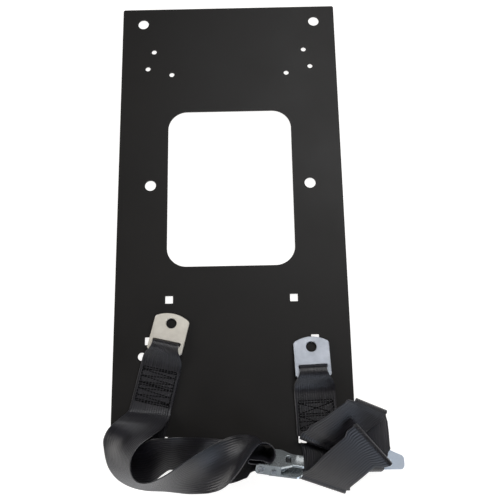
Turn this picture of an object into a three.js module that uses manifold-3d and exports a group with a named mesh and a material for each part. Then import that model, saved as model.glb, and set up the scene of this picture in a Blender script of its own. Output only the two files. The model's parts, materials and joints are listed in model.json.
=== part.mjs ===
// Flat steel back plate with two loose halves of a two-inch lap belt lying on its foot end.
// Millimetres, +Z up. The plate lies on its back face (z = 0), +Y is its head end, -X is left.
// The origin is on the back face, on the centre line, 200 mm from the foot edge.
import * as THREE from 'three';
import { mergeVertices } from 'three/addons/utils/BufferGeometryUtils.js';
import Module from 'manifold-3d';

const wasm = await Module();
wasm.setup();

// ---------------------------------------------------------------- belt dimensions
const WEB_T = 1.6;                        // webbing thickness
const SEWN_TOP = 5.85 + WEB_T / 2;        // top face of the sewn double layer

// hole: bolt hole centre [x, y]; yaw: degrees the belt turns from the foot direction
// seamRows: cross rows of stitching, distances from the bolt hole along the belt
const LEFT_RUN = { hole: [-73.7, -30.9], yaw: -13.14, seamRows: [57, 59.4, 76.5, 79, 96.6, 99] };
const RIGHT_RUN = { hole: [96.2, -62.5], yaw: 2.2, seamRows: [64, 66.6, 79.4, 82, 95.4, 98] };

// Webbing centre surfaces. One row per station along the belt:
// first long edge x, y, z, then second long edge x, y, z.
const LEFT_RIBBON = [
  [-128.48, -157.77, 4.00, -80.76, -168.91, 4.00],
  [-127.87, -155.16, 4.00, -80.15, -166.29, 4.00],
  [-127.11, -151.93, 4.00, -79.39, -163.07, 4.00],
  [-125.56, -145.28, 4.00, -77.84, -156.42, 4.00],
  [-123.48, -136.35, 4.00, -75.76, -147.49, 4.00],
  [-121.17, -126.45, 4.00, -73.45, -137.59, 4.00],
  [-118.93, -116.87, 4.00, -71.21, -128.01, 4.00],
  [-116.67, -106.54, 4.00, -68.67, -117.75, 4.00],
  [-114.35, -95.57, 4.00, -65.88, -106.89, 4.00],
  [-112.05, -85.51, 4.00, -63.49, -96.85, 4.00],
  [-109.83, -77.92, 4.00, -62.12, -89.06, 4.00],
  [-108.06, -73.83, 4.00, -61.90, -84.61, 4.00],
  [-106.07, -70.58, 4.00, -62.25, -80.81, 4.00],
  [-103.20, -67.07, 4.00, -63.26, -76.39, 4.00],
  [-100.35, -63.70, 4.00, -64.32, -72.11, 4.00],
  [-98.53, -60.93, 4.00, -64.74, -68.82, 4.00],
  [-97.14, -58.29, 4.00, -64.81, -65.84, 4.00],
  [-96.42, -56.03, 4.00, -64.46, -63.49, 4.00],
  [-95.92, -53.95, 4.30, -63.98, -61.41, 4.30],
  [-95.50, -52.40, 4.95, -63.68, -59.83, 4.95],
  [-95.17, -51.15, 5.90, -63.42, -58.56, 5.90],
  [-94.87, -49.88, 8.60, -63.12, -57.30, 8.60],
  [-95.03, -50.57, 11.40, -63.28, -57.98, 11.40],
  [-95.25, -51.58, 12.59, -63.53, -58.98, 12.59],
  [-95.57, -52.90, 13.50, -63.83, -60.31, 13.50],
  [-95.99, -54.57, 14.07, -64.20, -61.99, 14.07],
  [-96.59, -56.36, 14.30, -64.45, -63.87, 14.30],
  [-97.53, -58.17, 14.25, -64.41, -65.91, 14.25],
  [-98.76, -59.96, 13.90, -64.10, -68.06, 13.90],
  [-100.56, -61.84, 13.19, -63.32, -70.54, 13.19],
  [-102.51, -63.71, 12.20, -62.39, -73.07, 12.20],
  [-104.62, -65.77, 10.73, -61.41, -75.86, 10.73],
  [-106.47, -67.92, 9.20, -60.70, -78.60, 9.20],
  [-107.64, -70.19, 7.93, -60.67, -81.16, 7.93],
  [-108.49, -72.58, 6.90, -60.96, -83.68, 6.90],
  [-109.14, -74.94, 6.30, -61.42, -86.08, 6.30],
  [-109.72, -77.43, 5.95, -62.00, -88.57, 5.95],
  [-110.42, -80.39, 5.83, -62.69, -91.54, 5.83],
  [-111.20, -83.76, 5.85, -63.48, -94.90, 5.85],
  [-112.15, -87.83, 5.84, -64.43, -98.97, 5.84],
  [-113.23, -92.45, 5.84, -65.51, -103.59, 5.84],
  [-114.31, -97.07, 5.85, -66.59, -108.21, 5.85],
  [-115.34, -101.50, 5.85, -67.62, -112.64, 5.85],
  [-116.38, -105.94, 5.85, -68.66, -117.08, 5.85],
  [-117.41, -110.38, 5.85, -69.70, -121.52, 5.85],
  [-118.43, -114.75, 5.76, -70.79, -126.23, 5.78],
  [-119.44, -119.13, 5.67, -71.89, -130.95, 5.71],
  [-120.52, -123.69, 5.85, -72.80, -134.83, 5.85],
  [-121.44, -127.85, 6.17, -73.24, -136.90, 6.11],
  [-122.40, -132.13, 6.66, -73.57, -138.42, 6.50],
  [-124.21, -135.64, 7.61, -73.39, -140.12, 7.19],
  [-126.65, -138.57, 10.10, -73.99, -143.08, 8.81],
  [-129.15, -140.96, 13.09, -75.28, -146.18, 10.91],
  [-131.69, -143.61, 15.66, -76.60, -148.73, 12.98],
  [-134.63, -146.51, 18.26, -78.09, -151.30, 15.31],
  [-138.10, -149.67, 20.17, -79.49, -153.95, 17.83],
  [-142.13, -153.54, 21.14, -81.53, -156.85, 20.83],
  [-145.47, -157.81, 21.19, -84.79, -159.75, 24.13],
  [-147.85, -162.25, 20.42, -88.73, -162.88, 27.58],
  [-149.78, -166.82, 18.58, -92.84, -166.27, 31.22],
  [-150.53, -171.51, 16.27, -97.85, -169.93, 34.68],
  [-150.17, -176.14, 14.52, -102.90, -173.97, 37.48],
  [-149.62, -180.54, 13.23, -106.75, -178.22, 39.83],
  [-148.94, -184.97, 12.02, -109.73, -182.73, 42.00],
  [-148.00, -189.36, 11.04, -111.77, -187.24, 43.96],
  [-146.82, -193.56, 10.24, -112.77, -191.60, 45.83],
  [-145.22, -197.73, 9.50, -113.05, -195.97, 47.64],
  [-143.06, -201.78, 8.81, -112.80, -200.04, 49.19],
  [-140.28, -205.76, 8.12, -112.06, -203.77, 50.38],
  [-136.91, -209.63, 7.40, -110.81, -207.20, 51.38],
  [-133.06, -213.14, 6.69, -109.14, -210.10, 52.31],
  [-128.55, -216.21, 6.19, -107.08, -212.42, 53.02],
  [-123.52, -218.90, 5.90, -104.62, -214.23, 53.46],
  [-118.29, -221.13, 5.75, -101.81, -215.48, 53.75],
  [-112.65, -222.95, 5.70, -98.47, -216.17, 53.93],
  [-106.85, -224.28, 5.69, -94.69, -216.23, 54.05],
  [-101.02, -225.27, 5.78, -90.58, -215.67, 54.22],
  [-94.43, -225.92, 6.05, -85.59, -214.21, 54.37],
  [-87.80, -226.19, 6.46, -80.19, -211.95, 54.55],
  [-81.26, -226.51, 7.19, -74.61, -209.21, 54.81],
  [-76.20, -226.99, 8.01, -70.05, -206.65, 55.13],
  [-71.21, -227.56, 9.17, -65.36, -203.70, 55.36],
  [-66.22, -228.17, 10.72, -60.61, -200.52, 55.44],
  [-61.19, -228.80, 12.57, -55.87, -197.29, 55.43],
  [-55.83, -229.46, 14.98, -50.93, -193.91, 55.34],
  [-50.35, -229.80, 18.20, -46.02, -190.76, 54.79],
  [-44.91, -229.77, 21.82, -41.12, -187.89, 53.86],
  [-39.64, -229.61, 25.25, -36.21, -185.03, 52.75],
  [-33.18, -229.36, 29.32, -29.97, -181.27, 51.09],
  [-26.94, -228.81, 33.27, -23.72, -177.62, 49.15],
  [-21.04, -227.59, 37.05, -17.48, -174.41, 46.95],
  [-15.98, -226.20, 40.31, -11.55, -171.43, 44.77],
  [-11.20, -224.02, 43.48, -5.65, -169.03, 42.29],
  [-6.49, -220.99, 46.75, 0.07, -167.25, 39.25],
  [-1.94, -217.06, 50.21, 5.38, -166.21, 35.61],
  [2.54, -212.35, 53.76, 10.51, -165.73, 31.45],
  [6.97, -207.17, 57.00, 15.39, -165.71, 27.00],
  [11.09, -201.69, 59.72, 19.76, -165.97, 22.17],
  [15.16, -195.79, 62.15, 23.91, -166.65, 17.08],
  [19.43, -189.93, 63.77, 27.89, -168.25, 13.23],
  [23.68, -184.19, 62.87, 31.18, -171.23, 12.81],
  [27.87, -179.36, 62.36, 34.55, -174.06, 12.34],
  [31.93, -176.42, 61.77, 37.52, -175.97, 12.23],
  [36.54, -175.69, 61.39, 40.40, -176.72, 12.22],
  [40.81, -176.89, 61.26, 42.65, -177.19, 12.24],
  [44.51, -179.75, 61.25, 44.18, -177.99, 12.26],
  [47.25, -183.62, 61.20, 44.91, -178.89, 12.30],
  [48.20, -187.39, 60.90, 44.65, -179.76, 12.40],
  [47.98, -191.11, 60.38, 43.68, -180.50, 12.62],
  [46.16, -194.84, 59.66, 41.53, -181.04, 12.87],
  [43.12, -197.41, 59.36, 39.02, -180.94, 12.64],
  [37.83, -196.45, 58.62, 37.00, -179.59, 12.68],
  [32.40, -194.58, 58.36, 34.74, -177.98, 12.32],
  [29.20, -194.35, 58.23, 31.85, -177.74, 12.18],
  [26.38, -194.30, 58.16, 28.72, -177.70, 12.11],
  [23.18, -193.79, 58.18, 25.51, -177.19, 12.14],
  [20.44, -193.47, 58.16, 22.77, -176.87, 12.11],
  [18.74, -193.87, 57.93, 21.07, -177.27, 11.88],
  [17.86, -195.29, 57.37, 20.20, -178.69, 11.33],
  [18.32, -196.89, 56.82, 20.65, -180.30, 10.77],
  [19.84, -197.75, 56.59, 22.17, -181.15, 10.54],
  [23.01, -198.30, 56.55, 25.35, -181.70, 10.50],
  [26.77, -198.72, 56.59, 29.10, -182.12, 10.54],
  [29.96, -199.06, 56.62, 32.29, -182.46, 10.58],
  [32.71, -199.56, 56.59, 35.05, -182.96, 10.54],
  [34.96, -200.82, 56.24, 37.30, -184.22, 10.20],
  [35.64, -203.19, 55.42, 37.97, -186.60, 9.38],
  [34.33, -205.29, 54.60, 36.67, -188.70, 8.56],
  [31.82, -205.88, 54.26, 34.16, -189.29, 8.21],
  [28.53, -205.45, 54.64, 30.99, -189.04, 8.21],
  [24.85, -205.19, 54.16, 27.19, -188.59, 8.11],
  [22.09, -206.20, 51.26, 23.55, -188.72, 7.52],
  [19.42, -207.88, 46.89, 19.63, -188.95, 6.67],
  [16.45, -212.10, 47.06, 15.53, -185.81, 4.00],
  [12.27, -214.04, 42.14, 10.98, -183.21, 4.00],
  [7.55, -215.97, 37.14, 6.37, -179.56, 4.00],
  [2.66, -217.60, 31.94, 1.58, -176.14, 4.00],
  [-2.66, -218.93, 25.64, -3.82, -173.04, 4.00],
  [-8.18, -219.45, 18.98, -9.42, -170.65, 5.33],
  [-13.92, -218.89, 13.45, -15.22, -169.49, 7.55],
  [-20.05, -218.18, 9.66, -21.53, -168.72, 10.51],
  [-26.38, -217.31, 7.07, -28.07, -168.25, 14.07],
  [-32.77, -216.19, 5.25, -34.50, -167.98, 17.75],
  [-37.68, -215.24, 4.41, -39.25, -167.85, 20.71],
  [-42.64, -214.20, 4.04, -43.92, -167.81, 23.92],
  [-47.62, -212.99, 3.90, -48.54, -167.83, 27.05],
  [-52.61, -211.71, 3.60, -53.16, -167.65, 29.90],
  [-59.43, -208.92, 2.99, -59.25, -167.24, 33.37],
  [-66.30, -205.13, 2.77, -65.29, -167.44, 36.01],
  [-72.56, -203.01, 4.00, -71.24, -168.01, 37.13],
  [-77.05, -204.32, 2.48, -76.20, -167.99, 37.22],
  [-81.11, -207.05, 2.16, -81.10, -168.00, 36.38],
  [-85.21, -210.06, 2.04, -85.90, -168.25, 34.96],
  [-89.82, -213.98, 2.01, -90.81, -168.61, 32.95],
  [-94.51, -217.34, 2.63, -95.59, -170.11, 29.88],
  [-99.10, -218.46, 3.56, -100.40, -172.56, 26.64],
  [-103.12, -218.59, 3.89, -104.96, -173.73, 24.52],
  [-107.01, -218.82, 3.74, -109.60, -173.78, 22.98],
  [-110.61, -219.00, 3.38, -113.89, -173.71, 21.82],
  [-114.32, -219.09, 2.67, -118.16, -173.82, 21.03],
  [-117.98, -217.10, 2.59, -122.03, -175.87, 19.71],
];
const RIGHT_RIBBON = [
  [75.61, -164.87, 4.00, 124.58, -162.98, 4.00],
  [75.51, -162.08, 4.00, 124.47, -160.19, 4.00],
  [75.38, -158.87, 4.00, 124.35, -156.99, 4.00],
  [75.18, -153.46, 4.00, 124.14, -151.58, 4.00],
  [74.92, -146.90, 4.00, 123.89, -145.02, 4.00],
  [74.66, -140.13, 4.00, 123.63, -138.25, 4.00],
  [74.34, -134.34, 4.00, 123.50, -132.45, 4.00],
  [73.94, -128.19, 4.00, 123.43, -126.29, 4.00],
  [73.68, -122.33, 4.00, 123.24, -120.43, 4.00],
  [73.79, -117.40, 4.00, 122.75, -115.52, 4.00],
  [74.41, -113.12, 4.00, 121.81, -111.30, 4.00],
  [75.48, -109.33, 4.00, 120.45, -107.60, 4.00],
  [77.32, -105.18, 4.00, 118.30, -103.61, 4.00],
  [79.17, -101.18, 4.00, 116.15, -99.76, 4.00],
  [80.20, -98.03, 4.00, 114.87, -96.70, 4.00],
  [80.84, -95.11, 4.00, 114.02, -93.84, 4.00],
  [80.94, -92.74, 4.00, 113.74, -91.48, 4.00],
  [80.87, -90.61, 4.30, 113.64, -89.35, 4.30],
  [80.87, -89.00, 4.95, 113.52, -87.75, 4.95],
  [80.86, -87.71, 5.90, 113.43, -86.46, 5.90],
  [80.81, -86.41, 8.60, 113.38, -85.16, 8.60],
  [80.83, -87.11, 11.40, 113.41, -85.86, 11.40],
  [80.88, -88.14, 12.59, 113.44, -86.89, 12.59],
  [80.93, -89.51, 13.50, 113.50, -88.25, 13.50],
  [80.97, -91.23, 14.07, 113.59, -89.97, 14.07],
  [80.86, -93.11, 14.30, 113.84, -91.84, 14.30],
  [80.43, -95.11, 14.25, 114.42, -93.80, 14.25],
  [79.72, -97.16, 13.90, 115.29, -95.79, 13.90],
  [78.49, -99.45, 13.19, 116.70, -97.98, 13.19],
  [77.09, -101.76, 12.20, 118.26, -100.18, 12.20],
  [75.60, -104.31, 10.73, 119.94, -102.61, 10.73],
  [74.39, -106.87, 9.20, 121.35, -105.07, 9.20],
  [73.86, -109.37, 7.93, 122.07, -107.52, 7.93],
  [73.68, -111.90, 6.90, 122.44, -110.03, 6.90],
  [73.67, -114.35, 6.30, 122.64, -112.47, 6.30],
  [73.77, -116.90, 5.95, 122.74, -115.02, 5.95],
  [73.88, -119.93, 5.83, 122.86, -118.05, 5.83],
  [74.02, -123.40, 5.85, 122.99, -121.52, 5.85],
  [74.19, -127.85, 5.84, 123.16, -125.96, 5.84],
  [74.39, -132.95, 5.84, 123.35, -131.07, 5.84],
  [74.58, -138.05, 5.85, 123.55, -136.17, 5.85],
  [74.77, -142.94, 5.85, 123.74, -141.06, 5.85],
  [74.96, -147.82, 5.85, 123.92, -145.94, 5.85],
  [75.15, -152.71, 5.85, 124.11, -150.83, 5.85],
  [75.14, -158.32, 5.85, 124.23, -155.24, 5.85],
  [75.13, -163.94, 5.85, 124.35, -159.65, 5.85],
  [75.71, -167.36, 5.85, 124.67, -165.48, 5.85],
  [77.26, -166.98, 5.72, 125.33, -172.94, 5.80],
  [79.20, -165.11, 5.59, 126.11, -181.35, 5.76],
  [80.13, -164.61, 5.90, 126.48, -187.15, 5.90],
  [79.43, -166.56, 6.58, 126.19, -188.59, 6.18],
  [78.47, -168.74, 7.75, 125.78, -188.89, 6.68],
  [77.98, -169.97, 9.81, 125.57, -189.40, 7.54],
  [77.78, -170.46, 12.20, 125.49, -189.61, 8.55],
  [77.98, -169.97, 14.59, 125.57, -189.40, 9.56],
  [78.47, -168.74, 16.65, 125.78, -188.89, 10.42],
  [79.04, -166.78, 17.69, 125.99, -188.09, 10.74],
  [80.13, -164.61, 18.50, 126.48, -187.15, 11.20],
  [83.19, -162.53, 20.12, 127.98, -186.04, 13.41],
  [87.53, -160.73, 22.03, 130.21, -184.85, 16.54],
  [89.52, -157.24, 24.30, 135.26, -184.86, 18.70],
  [94.49, -154.44, 26.69, 138.53, -182.74, 19.83],
  [99.77, -151.50, 29.18, 142.11, -180.10, 20.06],
  [105.05, -148.57, 31.49, 145.70, -177.00, 20.01],
  [110.26, -145.31, 33.75, 149.50, -173.41, 19.79],
  [115.23, -141.88, 35.92, 153.55, -169.49, 19.16],
  [119.99, -138.63, 37.82, 157.97, -165.30, 18.18],
  [124.98, -135.32, 39.46, 163.16, -160.25, 16.64],
  [129.60, -132.11, 40.88, 168.90, -155.00, 14.65],
  [132.28, -129.37, 42.68, 175.62, -151.16, 12.02],
  [139.09, -130.86, 40.49, 177.52, -146.28, 13.33],
  [141.75, -130.72, 40.00, 181.14, -143.64, 12.60],
  [142.53, -128.37, 38.97, 181.87, -141.42, 11.63],
  [142.85, -127.40, 36.50, 182.18, -140.51, 9.30],
  [142.53, -128.37, 34.03, 181.87, -141.42, 6.97],
  [141.75, -130.72, 33.00, 181.14, -143.64, 6.00],
  [140.51, -134.09, 31.08, 181.10, -145.93, 6.33],
  [138.89, -138.61, 28.43, 181.35, -148.82, 7.28],
  [137.00, -143.17, 26.23, 182.10, -152.32, 7.97],
  [135.90, -148.86, 23.89, 182.32, -157.65, 8.81],
  [135.20, -154.76, 21.91, 182.51, -163.79, 9.61],
  [134.75, -160.78, 20.30, 182.58, -169.68, 10.30],
  [134.43, -166.87, 19.18, 182.59, -174.81, 10.80],
  [134.22, -173.06, 18.47, 182.61, -179.71, 11.13],
  [134.04, -178.71, 18.08, 182.72, -184.33, 11.32],
  [137.17, -183.08, 17.49, 180.05, -187.80, 11.73],
  [138.58, -186.90, 17.34, 179.18, -191.29, 11.81],
  [138.93, -190.14, 17.60, 178.17, -193.57, 11.90],
  [137.63, -192.25, 18.48, 177.28, -193.89, 12.08],
  [136.31, -194.12, 19.14, 176.20, -194.12, 12.11],
  [136.62, -196.72, 18.05, 173.84, -196.41, 11.37],
  [137.39, -199.12, 16.61, 171.86, -199.12, 10.54],
  [137.33, -201.74, 16.25, 171.79, -201.74, 10.17],
  [137.08, -201.88, 14.85, 171.55, -201.88, 8.77],
  [136.80, -202.01, 13.27, 171.27, -202.01, 7.19],
  [136.59, -203.38, 12.06, 171.06, -203.38, 5.98],
  [136.49, -205.12, 11.49, 170.96, -205.12, 5.42],
  [136.59, -206.87, 12.06, 171.06, -206.87, 5.98],
  [136.80, -208.24, 13.27, 171.27, -208.24, 7.19],
  [137.07, -208.68, 14.62, 171.48, -208.63, 8.58],
  [137.33, -208.51, 16.25, 171.79, -208.51, 10.17],
  [137.70, -207.30, 19.29, 172.75, -207.60, 12.65],
  [137.38, -204.62, 22.30, 173.64, -206.12, 14.89],
  [134.92, -200.06, 24.14, 173.59, -204.33, 16.17],
  [131.40, -194.03, 25.49, 173.16, -202.27, 16.92],
  [129.36, -187.85, 27.00, 173.34, -200.71, 17.50],
  [129.89, -182.54, 28.90, 174.61, -199.88, 17.97],
  [131.63, -177.11, 30.92, 176.39, -199.46, 18.30],
  [133.58, -171.49, 32.50, 177.83, -199.68, 18.50],
  [135.89, -163.80, 33.39, 178.50, -201.46, 18.42],
  [138.10, -157.64, 34.00, 179.16, -202.82, 18.50],
  [140.06, -155.86, 35.10, 181.12, -201.04, 19.60],
  [140.87, -155.12, 37.75, 181.94, -200.30, 22.25],
  [140.06, -155.86, 40.40, 181.12, -201.04, 24.90],
  [138.10, -157.64, 41.50, 179.16, -202.82, 26.00],
  [134.82, -160.29, 41.31, 175.32, -203.76, 26.38],
  [130.32, -163.86, 40.34, 169.95, -204.52, 26.37],
  [127.84, -169.81, 38.28, 162.66, -203.66, 26.72],
  [122.50, -174.04, 36.48, 158.03, -206.48, 25.67],
  [116.99, -178.65, 34.19, 153.71, -209.90, 24.15],
  [111.41, -183.34, 31.61, 149.65, -213.27, 22.39],
  [107.10, -186.99, 29.45, 146.70, -215.64, 20.89],
  [102.75, -190.79, 27.08, 143.82, -217.97, 19.22],
  [98.50, -194.52, 24.64, 141.09, -220.21, 17.47],
  [94.61, -198.07, 22.24, 138.47, -222.23, 15.76],
  [90.69, -201.88, 19.52, 135.79, -224.42, 13.79],
  [86.63, -205.29, 16.86, 133.72, -226.62, 11.77],
  [80.85, -207.14, 14.86, 133.82, -228.99, 9.94],
  [77.94, -208.93, 13.31, 131.28, -229.03, 8.99],
  [75.22, -210.21, 12.20, 129.82, -229.44, 8.20],
  [74.34, -212.75, 11.09, 129.04, -231.72, 7.20],
  [73.98, -213.80, 8.40, 128.71, -232.66, 4.80],
  [74.34, -212.75, 5.71, 129.04, -231.72, 2.40],
  [75.22, -210.21, 4.60, 129.82, -229.44, 1.40],
  [76.34, -207.20, 4.62, 128.98, -225.29, 2.43],
  [78.89, -203.97, 4.87, 126.67, -219.57, 3.93],
  [79.87, -200.09, 4.73, 127.09, -214.48, 4.38],
  [80.72, -195.73, 4.43, 128.14, -209.01, 4.51],
  [81.19, -191.47, 4.20, 129.07, -204.24, 4.50],
  [81.10, -186.98, 4.12, 129.70, -200.18, 4.32],
  [80.67, -182.52, 4.10, 130.12, -196.88, 4.10],
  [79.98, -178.50, 4.10, 130.41, -194.58, 4.08],
  [79.44, -174.48, 4.10, 130.36, -192.47, 4.10],
];

// ---------------------------------------------------------------- helpers
const COLOURS = {
  dark: 0x262526,
  zinc: 0xcfc9bd,
  web: 0x34343a,
  chrome: 0xc9d2d6,
  thread: 0x4a4650,
  steel: 0x9aa2a6,
};
const group = new THREE.Group();
const vec = (x, y, z) => new THREE.Vector3(x, y, z);
const rad = THREE.MathUtils.degToRad;

function add(name, geometry, colour) {
  const material = new THREE.MeshStandardMaterial({ color: COLOURS[colour] });
  const mesh = new THREE.Mesh(geometry, material);
  mesh.name = name;
  group.add(mesh);
}

// Turns a geometry about X, then Y, then Z (degrees) and moves it to its origin.
function place(geometry, origin, [aboutX, aboutY, aboutZ]) {
  const turn = new THREE.Euler(rad(aboutX), rad(aboutY), rad(aboutZ), 'ZYX');
  const matrix = new THREE.Matrix4().makeRotationFromEuler(turn).setPosition(...origin);
  return geometry.applyMatrix4(matrix);
}

// Geometry to manifold solid: corners welded, collapsed triangles dropped.
function toSolid(geometry) {
  geometry.deleteAttribute('normal');
  geometry.deleteAttribute('uv');
  const welded = mergeVertices(geometry, 1e-4);
  const index = welded.index.array;
  const kept = [];
  for (let i = 0; i < index.length; i += 3) {
    const [a, b, c] = index.slice(i, i + 3);
    if (a !== b && b !== c && a !== c) kept.push(a, b, c);
  }
  return new wasm.Manifold(new wasm.Mesh({
    numProp: 3,
    vertProperties: new Float32Array(welded.attributes.position.array),
    triVerts: new Uint32Array(kept),
  }));
}

const unite = (geometries) => geometries.map(toSolid).reduce((sum, part) => sum.add(part));

function toGeometry(solid) {
  const mesh = solid.getMesh();
  const points = new Float32Array(mesh.vertProperties);
  const geometry = new THREE.BufferGeometry();
  geometry.setAttribute('position', new THREE.BufferAttribute(points, 3));
  geometry.setIndex(new THREE.BufferAttribute(new Uint32Array(mesh.triVerts), 1));
  return geometry;
}

function polygon(points, path = new THREE.Shape()) {
  path.setFromPoints(points.map(([x, y]) => new THREE.Vector2(x, y)));
  path.closePath();
  return path;
}

// Corners of a regular polygon; direction 1 runs counter-clockwise, -1 clockwise.
function ring(x, y, radius, count, direction) {
  return Array.from({ length: count }, (_, i) => {
    const angle = direction * i / count * 2 * Math.PI;
    return [x + radius * Math.cos(angle), y + radius * Math.sin(angle)];
  });
}

function roundHole(x, y, radius) {
  const sides = Math.max(14, Math.min(30, Math.round(radius * 4)));
  return polygon(ring(x, y, radius, sides, -1), new THREE.Path());
}

function roundRect(path, width, height, r, x = 0, y = 0) {
  const x0 = x - width / 2;
  const x1 = x + width / 2;
  const y0 = y - height / 2;
  const y1 = y + height / 2;
  path.moveTo(x0 + r, y0);
  path.lineTo(x1 - r, y0);
  path.absarc(x1 - r, y0 + r, r, -Math.PI / 2, 0, false);
  path.lineTo(x1, y1 - r);
  path.absarc(x1 - r, y1 - r, r, 0, Math.PI / 2, false);
  path.lineTo(x0 + r, y1);
  path.absarc(x0 + r, y1 - r, r, Math.PI / 2, Math.PI, false);
  path.lineTo(x0, y0 + r);
  path.absarc(x0 + r, y0 + r, r, Math.PI, 1.5 * Math.PI, false);
  return path;
}
const rectHole = (...sizes) => roundRect(new THREE.Path(), ...sizes);

// Flat plate from z = bottom up, with broken edges.
function sheet(shape, { thickness, edge, curveSegments, bottom = 0 }) {
  const geometry = new THREE.ExtrudeGeometry(shape, {
    depth: thickness - 2 * edge,
    bevelEnabled: true,
    bevelThickness: edge,
    bevelSize: edge,
    bevelOffset: -edge,
    bevelSegments: 1,
    curveSegments,
  });
  return geometry.translate(0, 0, bottom + edge);
}

// Side profile (shape x, y = local x, z) extruded towards -y from y = start.
function slab(profile, start, width, curveSegments = 12) {
  const options = { depth: width, bevelEnabled: false, curveSegments };
  const geometry = new THREE.ExtrudeGeometry(profile, options);
  return geometry.rotateX(Math.PI / 2).translate(0, start, 0);
}

// Two slabs whose outer faces lie at y = -outer and y = +outer.
const slabPair = (profile, outer, thickness, curveSegments) =>
  [thickness - outer, outer].map((start) => slab(profile, start, thickness, curveSegments));

const lathe = (profile, segments) =>
  new THREE.LatheGeometry(profile.map(([r, y]) => new THREE.Vector2(r, y)), segments);

// ---------------------------------------------------------------- back plate
const PLATE = { width: 290, foot: -200, head: 410, thickness: 3, corner: 2.5, edge: 0.35 };
const WINDOW = { width: 162, top: 254.1, bottom: 41.4, corner: 25 };
// each hole is repeated at -x
const ROUND_HOLES = [   // x, y, radius
  [117, 387.2, 7.2], [101.6, 344.2, 3.5], [109.6, 318.8, 3.5],
  [77.2, 309.5, 3.5], [103.3, 150.6, 7.2], [109.7, -70.4, 5.0],
];
const SQUARE_HOLES = [   // x, y, side
  [77.4, -0.5, 9.6], [101.6, -51.6, 9.6], [82, -170.5, 9.6],
];
const SQUARE_HOLE_CORNER = 0.6;

function backPlate() {
  const { width, foot, head, thickness, corner, edge } = PLATE;
  const shape = roundRect(new THREE.Shape(), width, head - foot, corner, 0, (head + foot) / 2);
  const windowHeight = WINDOW.top - WINDOW.bottom;
  const windowY = (WINDOW.top + WINDOW.bottom) / 2;
  shape.holes.push(rectHole(WINDOW.width, windowHeight, WINDOW.corner, 0, windowY));
  for (const [x, y, radius] of ROUND_HOLES) {
    for (const side of [-1, 1]) shape.holes.push(roundHole(side * x, y, radius));
  }
  for (const [x, y, size] of SQUARE_HOLES) {
    for (const side of [-1, 1]) {
      shape.holes.push(rectHole(size, size, SQUARE_HOLE_CORNER, side * x, y));
    }
  }
  return sheet(shape, { thickness, edge, curveSegments: 14 });
}
add('back_plate', backPlate(), 'dark');

// ---------------------------------------------------------------- anchor plates
// Positions run along the plate (local x) from the middle of the bar the webbing wraps.
const ANCHOR = {
  width: 43, thickness: 3, edge: 0.4,
  head: -44.25, end: 5.25,          // crown of the arched end, and the straight end
  archRise: 6.7, archTrim: 0.035,   // trim: angle left off each end of the arch, radians
  shoulder: 1.2, chamfer: 2.4,
  bolt: -31.75, boltRadius: 6.5,
  slotStart: -9.7, slotEnd: -5.25, slotLength: 34.4, slotCorner: 1.2,
  tilt: 6, barZ: 9.24,
};

function anchorPlate({ hole, yaw }) {
  const { head, end, archRise, chamfer, slotStart, slotEnd, thickness, edge } = ANCHOR;
  const half = ANCHOR.width / 2;
  const radius = (half * half + archRise * archRise) / (2 * archRise);
  const halfAngle = Math.asin(half / radius) - ANCHOR.archTrim;
  const shoulderX = head + archRise + ANCHOR.shoulder;
  const shape = new THREE.Shape();
  shape.moveTo(end, -half + chamfer);
  shape.lineTo(end, half - chamfer);
  shape.lineTo(end - chamfer, half);
  shape.lineTo(shoulderX, half);
  shape.absarc(head + radius, 0, radius, Math.PI - halfAngle, Math.PI + halfAngle, false);
  shape.lineTo(shoulderX, -half);
  shape.lineTo(end - chamfer, -half);
  shape.closePath();
  const slotX = (slotStart + slotEnd) / 2;
  shape.holes.push(
    roundHole(ANCHOR.bolt, 0, ANCHOR.boltRadius),
    rectHole(slotEnd - slotStart, ANCHOR.slotLength, ANCHOR.slotCorner, slotX, 0),
  );
  const plate = sheet(shape, { thickness, edge, curveSegments: 16, bottom: -thickness / 2 });
  const barX = hole[0] - ANCHOR.bolt * Math.sin(rad(yaw));
  const barY = hole[1] + ANCHOR.bolt * Math.cos(rad(yaw));
  return place(plate, [barX, barY, ANCHOR.barZ], [0, -ANCHOR.tilt, yaw - 90]);
}
add('left_anchor_plate', anchorPlate(LEFT_RUN), 'zinc');
add('right_anchor_plate', anchorPlate(RIGHT_RUN), 'zinc');

// ---------------------------------------------------------------- webbing
const WEB_EDGE = 0.35;   // width of the slope along each long edge

function signedVolume(points, index) {   // six times the volume
  let sum = 0;
  for (let i = 0; i < index.length; i += 3) {
    const [a, b, c] = [0, 1, 2].map((k) => vec().fromArray(points, 3 * index[i + k]));
    sum += a.dot(b.cross(c));
  }
  return sum;
}

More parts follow.
